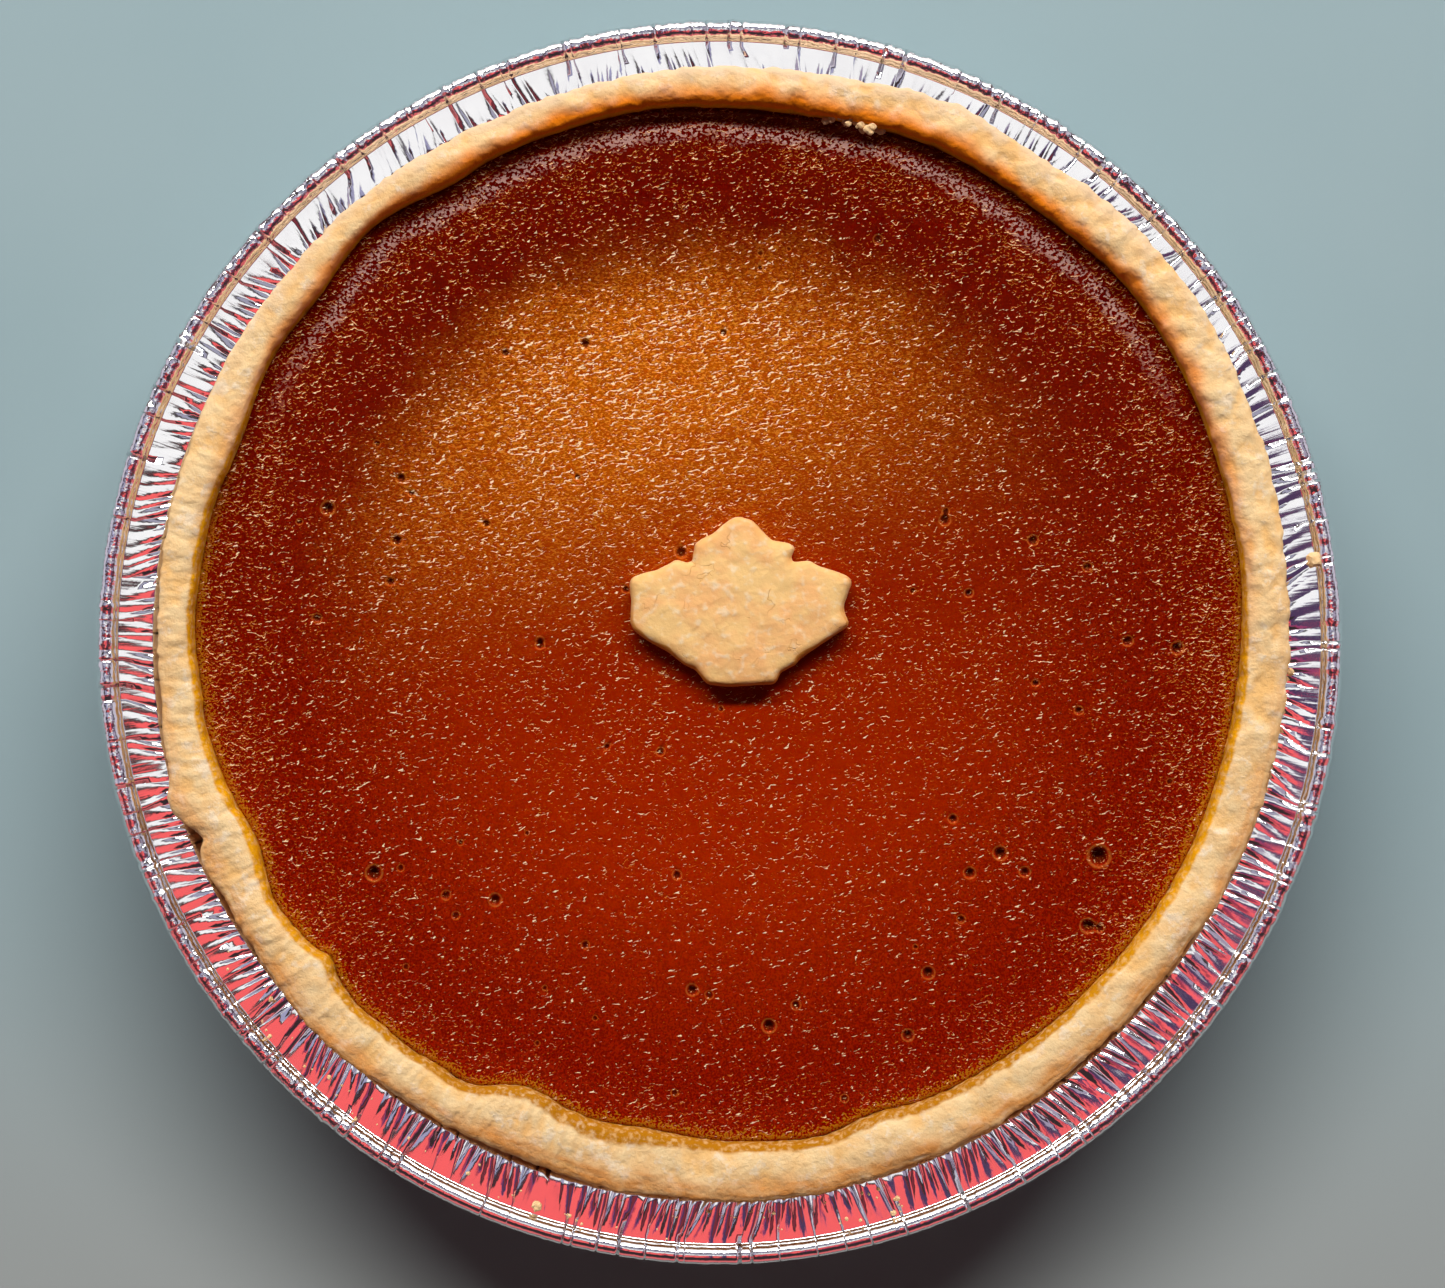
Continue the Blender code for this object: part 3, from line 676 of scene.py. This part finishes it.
def burst_bubbles():
    """The bubbles that stand out and small ones scattered evenly between them: place to the right
    and back, and radius."""
    pick = np.random.default_rng(31)
    reach = SMALL_BUBBLE_REACH * np.sqrt(pick.random(SMALL_BUBBLES))
    way = 2 * np.pi * pick.random(SMALL_BUBBLES)
    radius = pick.uniform(*SMALL_BUBBLE_RADII, SMALL_BUBBLES)
    small = round_points(1000 * reach, way, radius)
    return np.concatenate([np.array(BURST_BUBBLES), small]) / 1000


def press_bubbles(rows):
    """Presses the bubbles into a surface. Points near a bubble are gathered towards it, so that it
    comes out round, sunk inside its radius by a smooth step, and raised to a bell-shaped rim round
    it. Returns each point's distance from the nearest one, in that bubble's radii, up to 3."""
    nearest = np.full(rows.shape[:2], 3.0)
    rim_height, rim_middle, rim_width = BUBBLE_RIM
    for across, back, size in burst_bubbles():
        away = rows[..., :2] - (across, back)
        distance = np.hypot(away[..., 0], away[..., 1]) / size
        gathered = np.minimum(0.42 + 0.58 * distance / 3.4, 1.0)
        rows[..., :2] -= (1 - gathered)[..., None] * away
        distance = distance * gathered
        rows[..., 2] -= BUBBLE_DEPTH * size * (1 - eased(distance, 0.35, 1.0))
        rows[..., 2] += rim_height * size * np.exp(-(((distance - rim_middle) / rim_width) ** 2))
        nearest = np.minimum(nearest, distance)
    return nearest


def make_filling():
    """The set custard's section carried round: a low crown, a moat and a rise at the crust, with
    slow swells and the burst bubbles, then its side and flat bottom."""
    theta = np.linspace(0, 2 * np.pi, CUSTARD_COLUMNS, endpoint=False)[None]
    shift = edge_shift(INNER_BULGES, LIP_INNER_DRIFT, np.degrees(theta))
    share = np.linspace(0, 1, CUSTARD_RINGS)[:, None] ** 0.9
    level = share * (LIP_INNER_RADIUS - CUSTARD_EDGE_GAP)
    moat = level / CUSTARD_MOAT_RADIUS
    rise = (level - CUSTARD_MOAT_RADIUS) / (LIP_INNER_RADIUS - CUSTARD_MOAT_RADIUS)
    height = CUSTARD_MOAT_HEIGHT + np.where(
        moat < 1,
        CUSTARD_CROWN * (1 - moat**2) ** 2,
        (CUSTARD_EDGE_HEIGHT - CUSTARD_MOAT_HEIGHT) * rise.clip(0) ** 2)
    height = height + CUSTARD_MENISCUS * eased(level, LIP_INNER_RADIUS - 0.0085, LIP_INNER_RADIUS)
    radius = level + eased(level, CUSTARD_MOAT_RADIUS, LIP_INNER_RADIUS - CUSTARD_EDGE_GAP) * shift
    rows = round_points(radius, theta, height)
    rows[..., 2] += relief(rows, CUSTARD_SWELLS)
    bubble = press_bubbles(rows)

    side = crust_outer_radius(CRUST_BEND_HEIGHT) - CRUST_WALL - CUSTARD_SIDE_GAP
    foot = crust_outer_radius(CUSTARD_FLOOR) - CRUST_WALL - CUSTARD_SIDE_GAP
    under = ((side, CRUST_BEND_HEIGHT), (foot, CUSTARD_FLOOR + 0.0015), (foot - 0.002, CUSTARD_FLOOR),
             (0.0, CUSTARD_FLOOR))
    rows = np.concatenate([rows] + [round_points(radius, theta, height) for radius, height in under])
    edge = np.concatenate([share, np.ones((len(under), 1))]) + 0 * theta
    bubble = np.concatenate([bubble, np.full((len(under), CUSTARD_COLUMNS), 3.0)])
    return closed_skin("pumpkin_filling_skin", rows, edge=edge, bubble=bubble)


def turned_place(tree, place, degrees, squeeze):
    """A place turned round and squeezed sideways, so that a pattern on it slants and is drawn out."""
    sockets = {"Vector": place, "Rotation": (0.0, 0.0, math.radians(degrees)), "Scale": (squeeze, 1.0, 1.0)}
    return add_node(tree, "Mapping", sockets).outputs["Vector"]


def painted_custard_glow(tree, place):
    """How much painted golden light lies on the custard: a smooth rise and fall with the distance
    from the middle, which wanders, times a power of the cosine of the turn away from the arc's angle."""
    flat = flattened(tree, place)
    way = math.radians(GLOW_ANGLE)
    towards = add_node(
        tree, "VectorMath", {0: flat, 1: (math.cos(way), math.sin(way), 0.0)}, operation="DOT_PRODUCT")
    away = add_node(tree, "VectorMath", {0: flat}, operation="LENGTH").outputs["Value"]
    facing = reckon(tree, "DIVIDE", reckon(tree, "MAXIMUM", towards.outputs["Value"], 0.0), away)
    away = added(tree, away, scaled(tree, grain(tree, place, 14.0, 3.0), GLOW_WANDER))
    rise, fall = spread(tree, away, *GLOW_INSIDE, 0.1, 1.0), spread(tree, away, *GLOW_OUTSIDE, 1.0, 0.0)
    return scaled(tree, scaled(tree, rise, fall), reckon(tree, "POWER", facing, 1.8))


def custard_pits(tree, along, crowd, width, depth, closed, thin):
    """Small pits where a noise, raised by their crowd, passes a level. Returns their relief in
    millimetres and a thin painted glint, a mask for a pale colour, along the wall of each that faces
    the window, which is where the noise rises towards the back."""
    beyond = reckon_vector(tree, "ADD", along, (0.0, 0.15, 0.0))
    noise = added(tree, grain(tree, along, width, 1.0, 0.4), crowd)
    behind = added(tree, grain(tree, beyond, width, 1.0, 0.4), crowd)
    sunk = spread(tree, noise, closed, closed + 0.10, 0.0, -depth)
    off_wall = reckon(tree, "ABSOLUTE", reckon(tree, "SUBTRACT", noise, closed + 0.05))
    line = spread(tree, off_wall, 0.5 * thin, thin, 1.0, 0.0)
    facing = spread(tree, reckon(tree, "SUBTRACT", behind, noise), 0.015, 0.045)
    return sunk, scaled(tree, line, facing)


def custard_body_colour(tree, place, edge, backwards, painted_glow, pits):
    """The custard's colour under its painted glints: red in the middle, deep towards the edge, dark
    towards the back, with the painted golden arc of light, mottled, with dark pores that crowd at the
    edge and painted shade in the deep pits."""
    mottle = spread(tree, grain(tree, place, 3.0, 3.0), 0.3, 0.7, 0.0, 0.30)
    pores = spread(tree, grain(tree, place, 0.42, 1.0), 0.38, 0.62, 1.0, 0.0)
    return layer_colours(
        tree, CUSTARD_RED,
        (spread(tree, edge, 0.42, 0.97), CUSTARD_DEEP),
        (spread(tree, backwards, -60.0, 90.0, 0.0, 0.95), CUSTARD_DARK),
        # The painted golden arc of light
        (painted_glow, CUSTARD_PAINTED_GLOW),
        (mottle, CUSTARD_DEEP),
        (scaled(tree, pores, spread(tree, edge, 0.3, 0.95, 0.12, 0.65)), CUSTARD_DARK),
        # Painted shade in the deep pits
        (spread(tree, pits, -0.05, 0.0, 0.6, 0.0), CUSTARD_DEEP))


def custard_material():
    """Set pumpkin custard under a thin glossy skin. Three sizes of pits, which crowd in the painted
    glow and at the edge, each have a painted pale glint. A painted mauve reflection lies inside the
    back edge, and a golden fringe of baked custard along the front and the sides. The bubbles' rims
    have painted glints and their hollows painted shade."""
    material, tree, shader = new_material(
        "pumpkin_custard", Roughness=0.07, Specular_IOR_Level=0.12, Specular_Tint=CUSTARD_GLOSS,
        Subsurface_Scale=0.0007, Subsurface_Radius=(1.0, 0.35, 0.12))
    place = millimetres(tree)
    backwards = backward_place(tree, place)
    edge, bubble = point_mark(tree, "edge"), point_mark(tree, "bubble")
    slanted = turned_place(tree, place, -10.0, 0.80)
    raked = turned_place(tree, place, -40.0, 0.50)
    painted_glow = painted_custard_glow(tree, place)

    busy = added(
        tree, scaled(tree, painted_glow, 0.6),
        spread(tree, added(tree, edge, scaled(tree, grain(tree, place, 9.0), 0.12)), 0.88, 1.02),
        spread(tree, grain(tree, place, 8.0, 2.0), 0.35, 0.65, -0.35, 0.35),
        spread(tree, backwards, -100.0, -10.0, -0.9, 0.0))
    clusters = scaled(tree, painted_glow, spread(tree, grain(tree, raked, 3.5, 2.0), 0.35, 0.65, 0.05, 0.19))
    # Each kind of pit gives a painted glint: a pale colour along the wall that faces the window
    wide_pits, wide_painted_glints = custard_pits(tree, slanted, scaled(tree, busy, WIDE_CROWDING), *WIDE_PITS)
    fine_pits, fine_painted_glints = custard_pits(tree, slanted, scaled(tree, busy, FINE_CROWDING), *FINE_PITS)
    glow_pits, glow_painted_glints = custard_pits(tree, raked, clusters, *GLOW_PITS)
    pits = added(tree, wide_pits, fine_pits, glow_pits)
    swell = scaled(tree, grain(tree, slanted, 3.0, 1.0), CUSTARD_SWELL_BUMP)

    # A painted mauve reflection in a thin band inside the back edge
    wandering = added(tree, edge, scaled(tree, grain(tree, place, 5.0), 0.04))
    band = scaled(tree, spread(tree, wandering, 0.956, 0.978), spread(tree, edge, 0.964, 0.977, 1.0, 0.0))
    band = scaled(tree, band, spread(tree, backwards, 40.0, 70.0))
    painted_reflection = scaled(tree, band, spread(tree, grain(tree, slanted, 0.5, 1.0), 0.50, 0.56))
    fringe = added(tree, grain(tree, place, 0.45, 1.0), spread(tree, edge, 0.960, 1.0, -0.22, 0.12))
    fringe = scaled(tree, spread(tree, fringe, 0.52, 0.60), spread(tree, backwards, 10.0, 45.0, 0.85, 0.0))

    # A painted speckle of reflected light, laid only in the golden arc
    painted_speckle = spread(tree, grain(tree, raked, 0.32, 1.0), 0.52, 0.60)
    off_rim = reckon(tree, "ABSOLUTE", reckon(tree, "SUBTRACT", bubble, 1.1))
    pale = spread(tree, backwards, -100.0, 10.0, 0.40, 0.90)
    colour = layer_colours(
        tree, custard_body_colour(tree, place, edge, backwards, painted_glow, pits),
        (scaled(tree, painted_speckle, scaled(tree, painted_glow, 0.75)), CUSTARD_PAINTED_SPECKLE),
        # Painted glints round the bubbles' rims, and painted shade in their hollows
        (spread(tree, off_rim, 0.05, 0.22, 0.22, 0.0), CUSTARD_PAINTED_FINE_GLINT),
        (spread(tree, bubble, 0.55, 0.95, 0.9, 0.0), CUSTARD_PAINTED_HOLLOW_SHADE),
        # Painted glints on the pits
        (scaled(tree, fine_painted_glints, 0.55), CUSTARD_PAINTED_FINE_GLINT),
        (scaled(tree, wide_painted_glints, pale), CUSTARD_PAINTED_GLINT),
        (glow_painted_glints, CUSTARD_PAINTED_PALE_GLINT),
        (painted_reflection, CUSTARD_PAINTED_REFLECTION),
        (fringe, CUSTARD_FRONT_STAIN))
    # The painted highlights and reflection are kept out of the subsurface, so they stay sharp
    painted_highlights = reckon(tree, "MAXIMUM", reckon(tree, "MAXIMUM", wide_painted_glints, fine_painted_glints), glow_painted_glints)
    clear = reckon(tree, "SUBTRACT", 1.0, reckon(tree, "MAXIMUM", painted_highlights, painted_reflection))
    join(shader, Base_Color=colour, Normal=raise_bump(tree, pits, swell), Subsurface_Weight=clear)
    return material


pumpkin_filling = add_piece(
    "pumpkin_filling_skin", make_filling(), custard_material(), "pumpkin_filling")


# Pastry leaf
# A maple leaf cut from rolled pastry with a cutter, and baked on the custard. It has risen to a
# low pillow with rounded edges, small pale blisters and hairline cracks, and its rim browned.
LEAF_MIDDLE = (0.0040, 0.0078)
LEAF_BOTTOM = 0.0279
LEAF_SIDE = 0.0034
LEAF_PUFF = 0.0009
LEAF_CROWN = 0.0005
LEAF_COLUMNS = 720
LEAF_ROWS = 64
# The cut side's rows: share of the way down, and how far out
LEAF_SIDE_ROWS = ((0.12, 0.00012), (0.35, 0.00022), (0.65, 0.00015), (0.92, -0.0001), (1.0, -0.0004))
# The cutter's corners, in millimetres to the right of and behind the leaf's middle
LEAF_CORNERS = (
    (0.1, 16.7), (-1.7, 16.3), (-3.3, 15.1), (-5.0, 13.5), (-7.8, 12.1), (-8.7, 11.3), (-9.2, 8.1),
    (-10.4, 7.7), (-12.2, 8.4), (-15.9, 6.4), (-18.7, 5.8), (-20.9, 5.0), (-21.5, 3.9), (-21.1, 0.4),
    (-21.3, -3.8), (-20.8, -5.2), (-18.7, -6.9), (-13.9, -9.6), (-10.6, -12.2), (-8.7, -12.9),
    (-6.9, -15.2), (-6.1, -15.9), (-1.8, -16.3), (6.6, -15.8), (7.3, -15.0), (7.8, -13.6), (10.9, -12.0),
    (11.5, -11.0), (20.9, -4.7), (21.3, -4.0), (20.3, -1.7), (20.3, -0.3), (21.8, 3.9), (21.4, 5.0),
    (18.5, 6.2), (15.7, 6.9), (13.4, 8.2), (10.3, 7.8), (9.9, 9.0), (10.8, 10.6), (9.7, 11.5),
    (6.2, 12.1), (4.3, 13.9), (2.4, 16.0),
)
# Noise on its top: depth, size and shift
LEAF_LUMPS = ((0.00022, 0.0060, 0.0), (0.00012, 0.0026, 0.3), (0.00005, 0.0012, 0.0))
LEAF_PALE = (0.95, 0.61, 0.25, 1.0)
LEAF_BAKED = (0.95, 0.50, 0.20, 1.0)
LEAF_BROWNED = (0.74, 0.29, 0.045, 1.0)
LEAF_BLISTER = (0.95, 0.80, 0.58, 1.0)
# Heights of the bumps in millimetres
LEAF_CRUMB_BUMP, LEAF_FOLD_BUMP, LEAF_BLISTER_BUMP, LEAF_CRACK_BUMP = 0.10, 0.14, 0.035, 0.10


def leaf_outline():
    """The outline's reach from the middle at evenly spaced angles: the corners joined by straight
    lines in the plane, read along each ray, then rounded by a short running average."""
    corners = np.array(LEAF_CORNERS) / 1000
    along = np.linspace(0, 1, 40, endpoint=False)[None, :, None]
    following = np.roll(corners, -1, axis=0)
    points = (corners[:, None] * (1 - along) + following[:, None] * along).reshape(-1, 2)
    angle = np.arctan2(points[:, 1], points[:, 0])
    order = np.argsort(angle)
    wanted = np.linspace(-np.pi, np.pi, LEAF_COLUMNS, endpoint=False)
    reach = np.interp(wanted, angle[order], np.hypot(*points[order].T), period=2 * np.pi)
    window = np.hanning(13)
    wrapped = np.concatenate([reach[-6:], reach, reach[:6]])
    return wanted, np.convolve(wrapped, window / window.sum(), "valid")


def make_leaf():
    """Rays from the middle to the outline. The top's height above the cut side follows each
    point's distance to the outline: a quick rounded puff, then a slow crown."""
    angle, reach = leaf_outline()
    outline = np.stack([reach * np.cos(angle), reach * np.sin(angle)], axis=-1)
    share = np.linspace(0, 1, LEAF_ROWS)[:, None] ** 0.8
    flat = share[..., None] * outline[None]
    distance = np.full(flat.shape[:2], 1.0)
    for point in outline[::2]:
        distance = np.minimum(distance, np.hypot(flat[..., 0] - point[0], flat[..., 1] - point[1]))
    distance[-1] = 0.0
    place = np.concatenate([flat, np.zeros_like(flat[..., :1])], axis=-1)
    puff = LEAF_PUFF * (1 - np.exp(-distance / 0.0005)) + LEAF_CROWN * (1 - np.exp(-distance / 0.005))
    top = LEAF_BOTTOM + LEAF_SIDE + puff + relief(place, LEAF_LUMPS) * eased(distance, 0.0, 0.002)
    shown = np.concatenate([flat, top[..., None]], axis=-1)
    sides = []
    for down, out in LEAF_SIDE_ROWS:
        rough = 0.00012 * waver(place[-1] + down, 0.0022)
        wider = 1 + ((out + rough) / reach)[:, None]
        height = np.full((LEAF_COLUMNS, 1), LEAF_BOTTOM + LEAF_SIDE * (1 - down))
        sides.append(np.concatenate([outline * wider, height], axis=-1))
    middle = np.concatenate([0 * outline, np.full((LEAF_COLUMNS, 1), LEAF_BOTTOM)], axis=-1)
    rows = np.concatenate([shown, np.stack(sides + [middle])])
    rows[..., 0] += LEAF_MIDDLE[0]
    rows[..., 1] += LEAF_MIDDLE[1]
    rim = np.concatenate([distance, np.zeros((len(sides) + 1, LEAF_COLUMNS))])
    rim = 1 - eased(rim + 0.0005 * waver(rows, 0.004), 0.0003, 0.0021)
    return closed_skin("pastry_leaf_skin", rows, rim=rim)


def leaf_material():
    """The same pastry, paler and smoother than the crust, with pale blisters, hairline cracks where
    a noise passes its middle, a browned rim and a darker cut side."""
    material, tree, shader = new_material("leaf_pastry", Roughness=0.58, Specular_IOR_Level=0.01)
    place = millimetres(tree)
    rim = point_mark(tree, "rim")
    blotches = spread(tree, grain(tree, place, 6.0, 4.0), 0.35, 0.68)
    blister = spread(tree, grain(tree, place, 1.7, 1.5, 0.5), 0.50, 0.80)
    seam = reckon(tree, "ABSOLUTE", reckon(tree, "SUBTRACT", grain(tree, place, 7.0, 3.0, 0.6), 0.5))
    crack = spread(tree, seam, 0.0, 0.008, 1.0, 0.0)
    crack = scaled(tree, crack, spread(tree, grain(tree, place, 11.0, 1.0), 0.50, 0.60))
    browned = scaled(tree, rim, spread(tree, grain(tree, place, 5.0, 3.0), 0.3, 0.65, 0.05, 0.4))
    in_front = spread(tree, backward_place(tree, place), 0.0, 12.0, 0.95, 0.2)
    cut_side = scaled(tree, spread(tree, rim, 0.93, 1.0), in_front)
    colour = layer_colours(
        tree, LEAF_PALE,
        (blotches, LEAF_BAKED),
        (scaled(tree, blister, 0.60), LEAF_BLISTER),
        (scaled(tree, crack, 0.5), LEAF_BROWNED),
        (reckon(tree, "MAXIMUM", browned, cut_side), LEAF_BROWNED))
    crumb = scaled(tree, grain(tree, place, 0.7, 3.0, 0.6), LEAF_CRUMB_BUMP)
    folds = scaled(tree, grain(tree, place, 2.4, 3.0, 0.6), LEAF_FOLD_BUMP)
    height = added(tree, crumb, folds, scaled(tree, blister, LEAF_BLISTER_BUMP))
    height = reckon(tree, "SUBTRACT", height, scaled(tree, crack, LEAF_CRACK_BUMP))
    join(shader, Base_Color=colour, Normal=raise_bump(tree, height))
    return material


pastry_leaf = add_piece("pastry_leaf_skin", make_leaf(), leaf_material(), "pastry_leaf")


# Crumbs
# Loose crumbs of the crust that lie on the ledge, in the groove beside the bead, and in a heap
# against the lip's inner edge at the back. Each is a small rough lump of pale pastry.
# The three that stand out: angle in degrees, radius, size and the height that they lie at
LARGE_CRUMBS = (
    (7.9, 0.1179, 0.0030, 0.0289), (357.0, 0.1125, 0.0015, 0.0289), (252.0, 0.1165, 0.0020, 0.0289))
TINY_CRUMBS = 60
EDGE_CRUMBS = 44
CRUMB_SIDES, CRUMB_RINGS = 10, 7
CRUMB_PALE = (0.94, 0.70, 0.42, 1.0)
CRUMB_BAKED = (0.84, 0.50, 0.20, 1.0)


def make_crumbs():
    """Small balls on a grid of rings and sides, each pushed in and out by noise and flattened, and
    all joined to one mesh."""
    pick = np.random.default_rng(12)
    tiny = (pick.uniform(212, 292, TINY_CRUMBS), pick.uniform(0.1115, 0.1182, TINY_CRUMBS),
            0.0003 + 0.0007 * pick.random(TINY_CRUMBS) ** 2, np.full(TINY_CRUMBS, LEDGE_HEIGHT + LEDGE_RISE))
    edge = (pick.uniform(72.3, 78.6, EDGE_CRUMBS), pick.uniform(0.1044, 0.1068, EDGE_CRUMBS),
            pick.uniform(0.0007, 0.0018, EDGE_CRUMBS), pick.uniform(0.0284, 0.0304, EDGE_CRUMBS))
    angle, radius, size, base = np.concatenate([np.array(LARGE_CRUMBS).T, tiny, edge], axis=1)
    angle = np.radians(angle)
    tilt = np.linspace(0, np.pi, CRUMB_RINGS)[:, None]
    turn = np.linspace(0, 2 * np.pi, CRUMB_SIDES, endpoint=False)[None]
    ball = round_points(np.sin(tilt), turn, 0.75 * np.cos(tilt))
    middles = round_points(radius, angle, base + 0.34 * size)
    meshes = []
    for middle, across in zip(middles, size):
        lump = 1 + 0.45 * waver(ball + 40 * middle, 0.8)
        meshes.append(closed_skin("crumb", middle + 0.5 * across * ball * lump[..., None]))
    points = np.concatenate([[tuple(point.co) for point in mesh.vertices] for mesh in meshes])
    starts = np.arange(len(meshes)) * len(meshes[0].vertices)
    faces = [[start + corner for corner in face.vertices]
             for start, mesh in zip(starts.tolist(), meshes) for face in mesh.polygons]
    joined = bpy.data.meshes.new("crumbs")
    joined.from_pydata(points, [], faces)
    for mesh in meshes:
        bpy.data.meshes.remove(mesh)
    return joined


def crumb_material():
    """Crumbled pale pastry, matt and grainy."""
    material, tree, shader = new_material("crumb_pastry", Roughness=0.7, Specular_IOR_Level=0.01)
    place = millimetres(tree)
    colour = blend_colours(tree, grain(tree, place, 0.8, 3.0), CRUMB_PALE, CRUMB_BAKED)
    rough = scaled(tree, grain(tree, place, 0.4, 3.0), 0.15)
    join(shader, Base_Color=colour, Normal=raise_bump(tree, rough))
    return material


crumbs = add_piece("crumbs", make_crumbs(), crumb_material())


# Table top
# A plain pale surface under the tin. It isn't part of the pie.
FLOOR_HALF = 2.5
FLOOR_DULL = (0.312, 0.430, 0.462, 1.0)
FLOOR_PALE = (0.350, 0.460, 0.490, 1.0)
FLOOR_IN_FRONT = (0.400, 0.400, 0.385, 1.0)


def make_floor():
    """A flat square in a dull blue grey, faintly clouded, which is warmer in front of the pie."""
    corners = [(FLOOR_HALF * x, FLOOR_HALF * y, 0.0) for x, y in ((-1, -1), (1, -1), (1, 1), (-1, 1))]
    mesh = bpy.data.meshes.new("table_top")
    mesh.from_pydata(corners, [], [(0, 1, 2, 3)])
    material, tree, shader = new_material("table_top", Roughness=0.9, Specular_IOR_Level=0.0)
    place = millimetres(tree)
    colour = blend_colours(tree, grain(tree, place, 60.0, 3.0), FLOOR_DULL, FLOOR_PALE)
    in_front = spread(tree, backward_place(tree, place), -160.0, -20.0, 0.8, 0.0)
    colour = blend_colours(tree, in_front, colour, FLOOR_IN_FRONT)
    join(shader, Base_Color=colour)
    mesh.materials.append(material)
    return new_object("table_top", mesh)


make_floor()


# Light and camera
# A wide softbox behind the pie, like a window, lights all of it. The other panels are cards that
# only the gloss of the foil and the custard sees: pale ones overhead and behind, lilac ones at
# the sides, and red and maroon ones in front. The surround is dim, and darkest at the top.
CAMERA_PLACE = (0.0006, -0.0003, 0.5810)
CAMERA_LENS = 69.9
PIE_HEIGHT = 0.03
WHITE = (1.0, 1.0, 1.0)
WINDOW_WHITE = (1.0, 0.985, 0.96)
LILAC = (0.62, 0.62, 0.95)
PALE_LILAC = (0.85, 0.84, 1.0)
MAUVE = (0.80, 0.68, 0.95)
RED = (1.0, 0.12, 0.12)
# The cards that face straight down: place, size, radiance and colour
HANGING_CARDS = {
    "overhead": ((-0.02, 0.17, 1.50), (0.80, 0.28), 0.98, WHITE),
    "back_card": ((0.0, 0.64, 1.50), (1.60, 0.44), 0.45, (0.72, 0.72, 0.95)),
    "lilac_card": ((-0.90, 0.22, 1.50), (0.94, 0.40), 0.55, LILAC),
    "mauve_card": ((0.86, 0.22, 1.50), (0.94, 0.40), 0.42, MAUVE),
    "red_card": ((-0.12, -0.20, 1.50), (0.58, 0.24), 1.0, (1.0, 0.11, 0.11)),
    "red_low_card": ((-0.205, -0.46, 1.50), (0.41, 0.28), 0.95, RED),
    "maroon_card": ((0.145, -0.46, 1.50), (0.29, 0.28), 0.26, (1.0, 0.05, 0.18)),
    "left_maroon_card": ((-0.86, -0.42, 1.50), (0.62, 0.60), 0.16, (1.0, 0.03, 0.10)),
    "right_maroon_card": ((0.86, -0.42, 1.50), (0.62, 0.60), 0.16, (1.0, 0.03, 0.10)),
    "navy_card": ((0.34, -0.24, 1.48), (0.40, 0.58), 0.08, (0.45, 0.22, 1.0)),
}
# The cards that stand round the pie: place, aim, size, radiance and colour
STANDING_CARDS = {
    "white_wall": ((0.0, 1.70, 0.85), (0.0, 0.0), (3.0, 1.30), 1.1, WHITE),
    "left_card": ((-1.7, 0.42, 0.75), (0.0, 0.42), (1.55, 1.1), 0.55, PALE_LILAC),
    "right_card": ((1.7, 0.42, 0.75), (0.0, 0.42), (1.55, 1.1), 0.55, PALE_LILAC),
    "left_red_card": ((-1.6, -0.87, 0.80), (0.0, -0.87), (1.02, 1.1), 0.60, RED),
    "right_red_card": ((1.6, -0.87, 0.80), (0.0, -0.87), (1.02, 1.1), 0.60, RED),
    "red_front": ((0.0, -1.30, 0.45), (0.0, 0.0), (2.2, 0.60), 0.6, RED),
}


def add_panel(name, place, aim, size, radiance, colour, gloss_only=True):
    """A rectangular area light at a place, turned towards a point at the pie's height, with its power
    from its radiance: pi times its area times that."""
    light = bpy.data.lights.new(name, "AREA")
    light.shape = "RECTANGLE"
    light.size, light.size_y = size
    light.energy = radiance * math.pi * size[0] * size[1]
    light.color = colour
    panel = new_object(name, light)
    panel.location = place
    right, back, up = np.array([*aim, PIE_HEIGHT]) - np.array(place)
    flat = math.hypot(right, back)
    heading = math.atan2(back, right) - math.pi / 2 if flat > 0 else 0.0
    panel.rotation_euler = (math.atan2(flat, -up), 0.0, heading)
    panel.visible_diffuse = not gloss_only


add_panel("window", (0.0, 1.22, 1.12), (0.0, 0.0), (2.3, 0.20), 30.5, WINDOW_WHITE, gloss_only=False)
for name, (place, size, radiance, colour) in HANGING_CARDS.items():
    add_panel(name, place, place[:2], size, radiance, colour)
for name, card in STANDING_CARDS.items():
    add_panel(name, *card)

SURROUND_COLOUR = (1.0, 0.64, 0.70, 1.0)
SURROUND_STRENGTHS = (0.16, 0.04)
world = bpy.data.worlds.new("surround")
bpy.context.scene.world = world
world.use_nodes = True
sky = world.node_tree
rising = add_node(sky, "SeparateXYZ", {0: add_node(sky, "TexCoord").outputs["Generated"]}).outputs["Z"]
shade = spread(sky, rising, 0.1, 0.75, *SURROUND_STRENGTHS)
sky.links.new(shade, sky.nodes["Background"].inputs["Strength"])
sky.nodes["Background"].inputs["Color"].default_value = SURROUND_COLOUR

lens = bpy.data.cameras.new("camera")
lens.sensor_width = 36.0
lens.lens = CAMERA_LENS
lens.clip_end = 20.0
camera = new_object("camera", lens)
camera.location = CAMERA_PLACE
bpy.context.scene.camera = camera
bpy.context.scene.view_settings.view_transform = "Standard"
bpy.context.scene.cycles.use_denoising = True
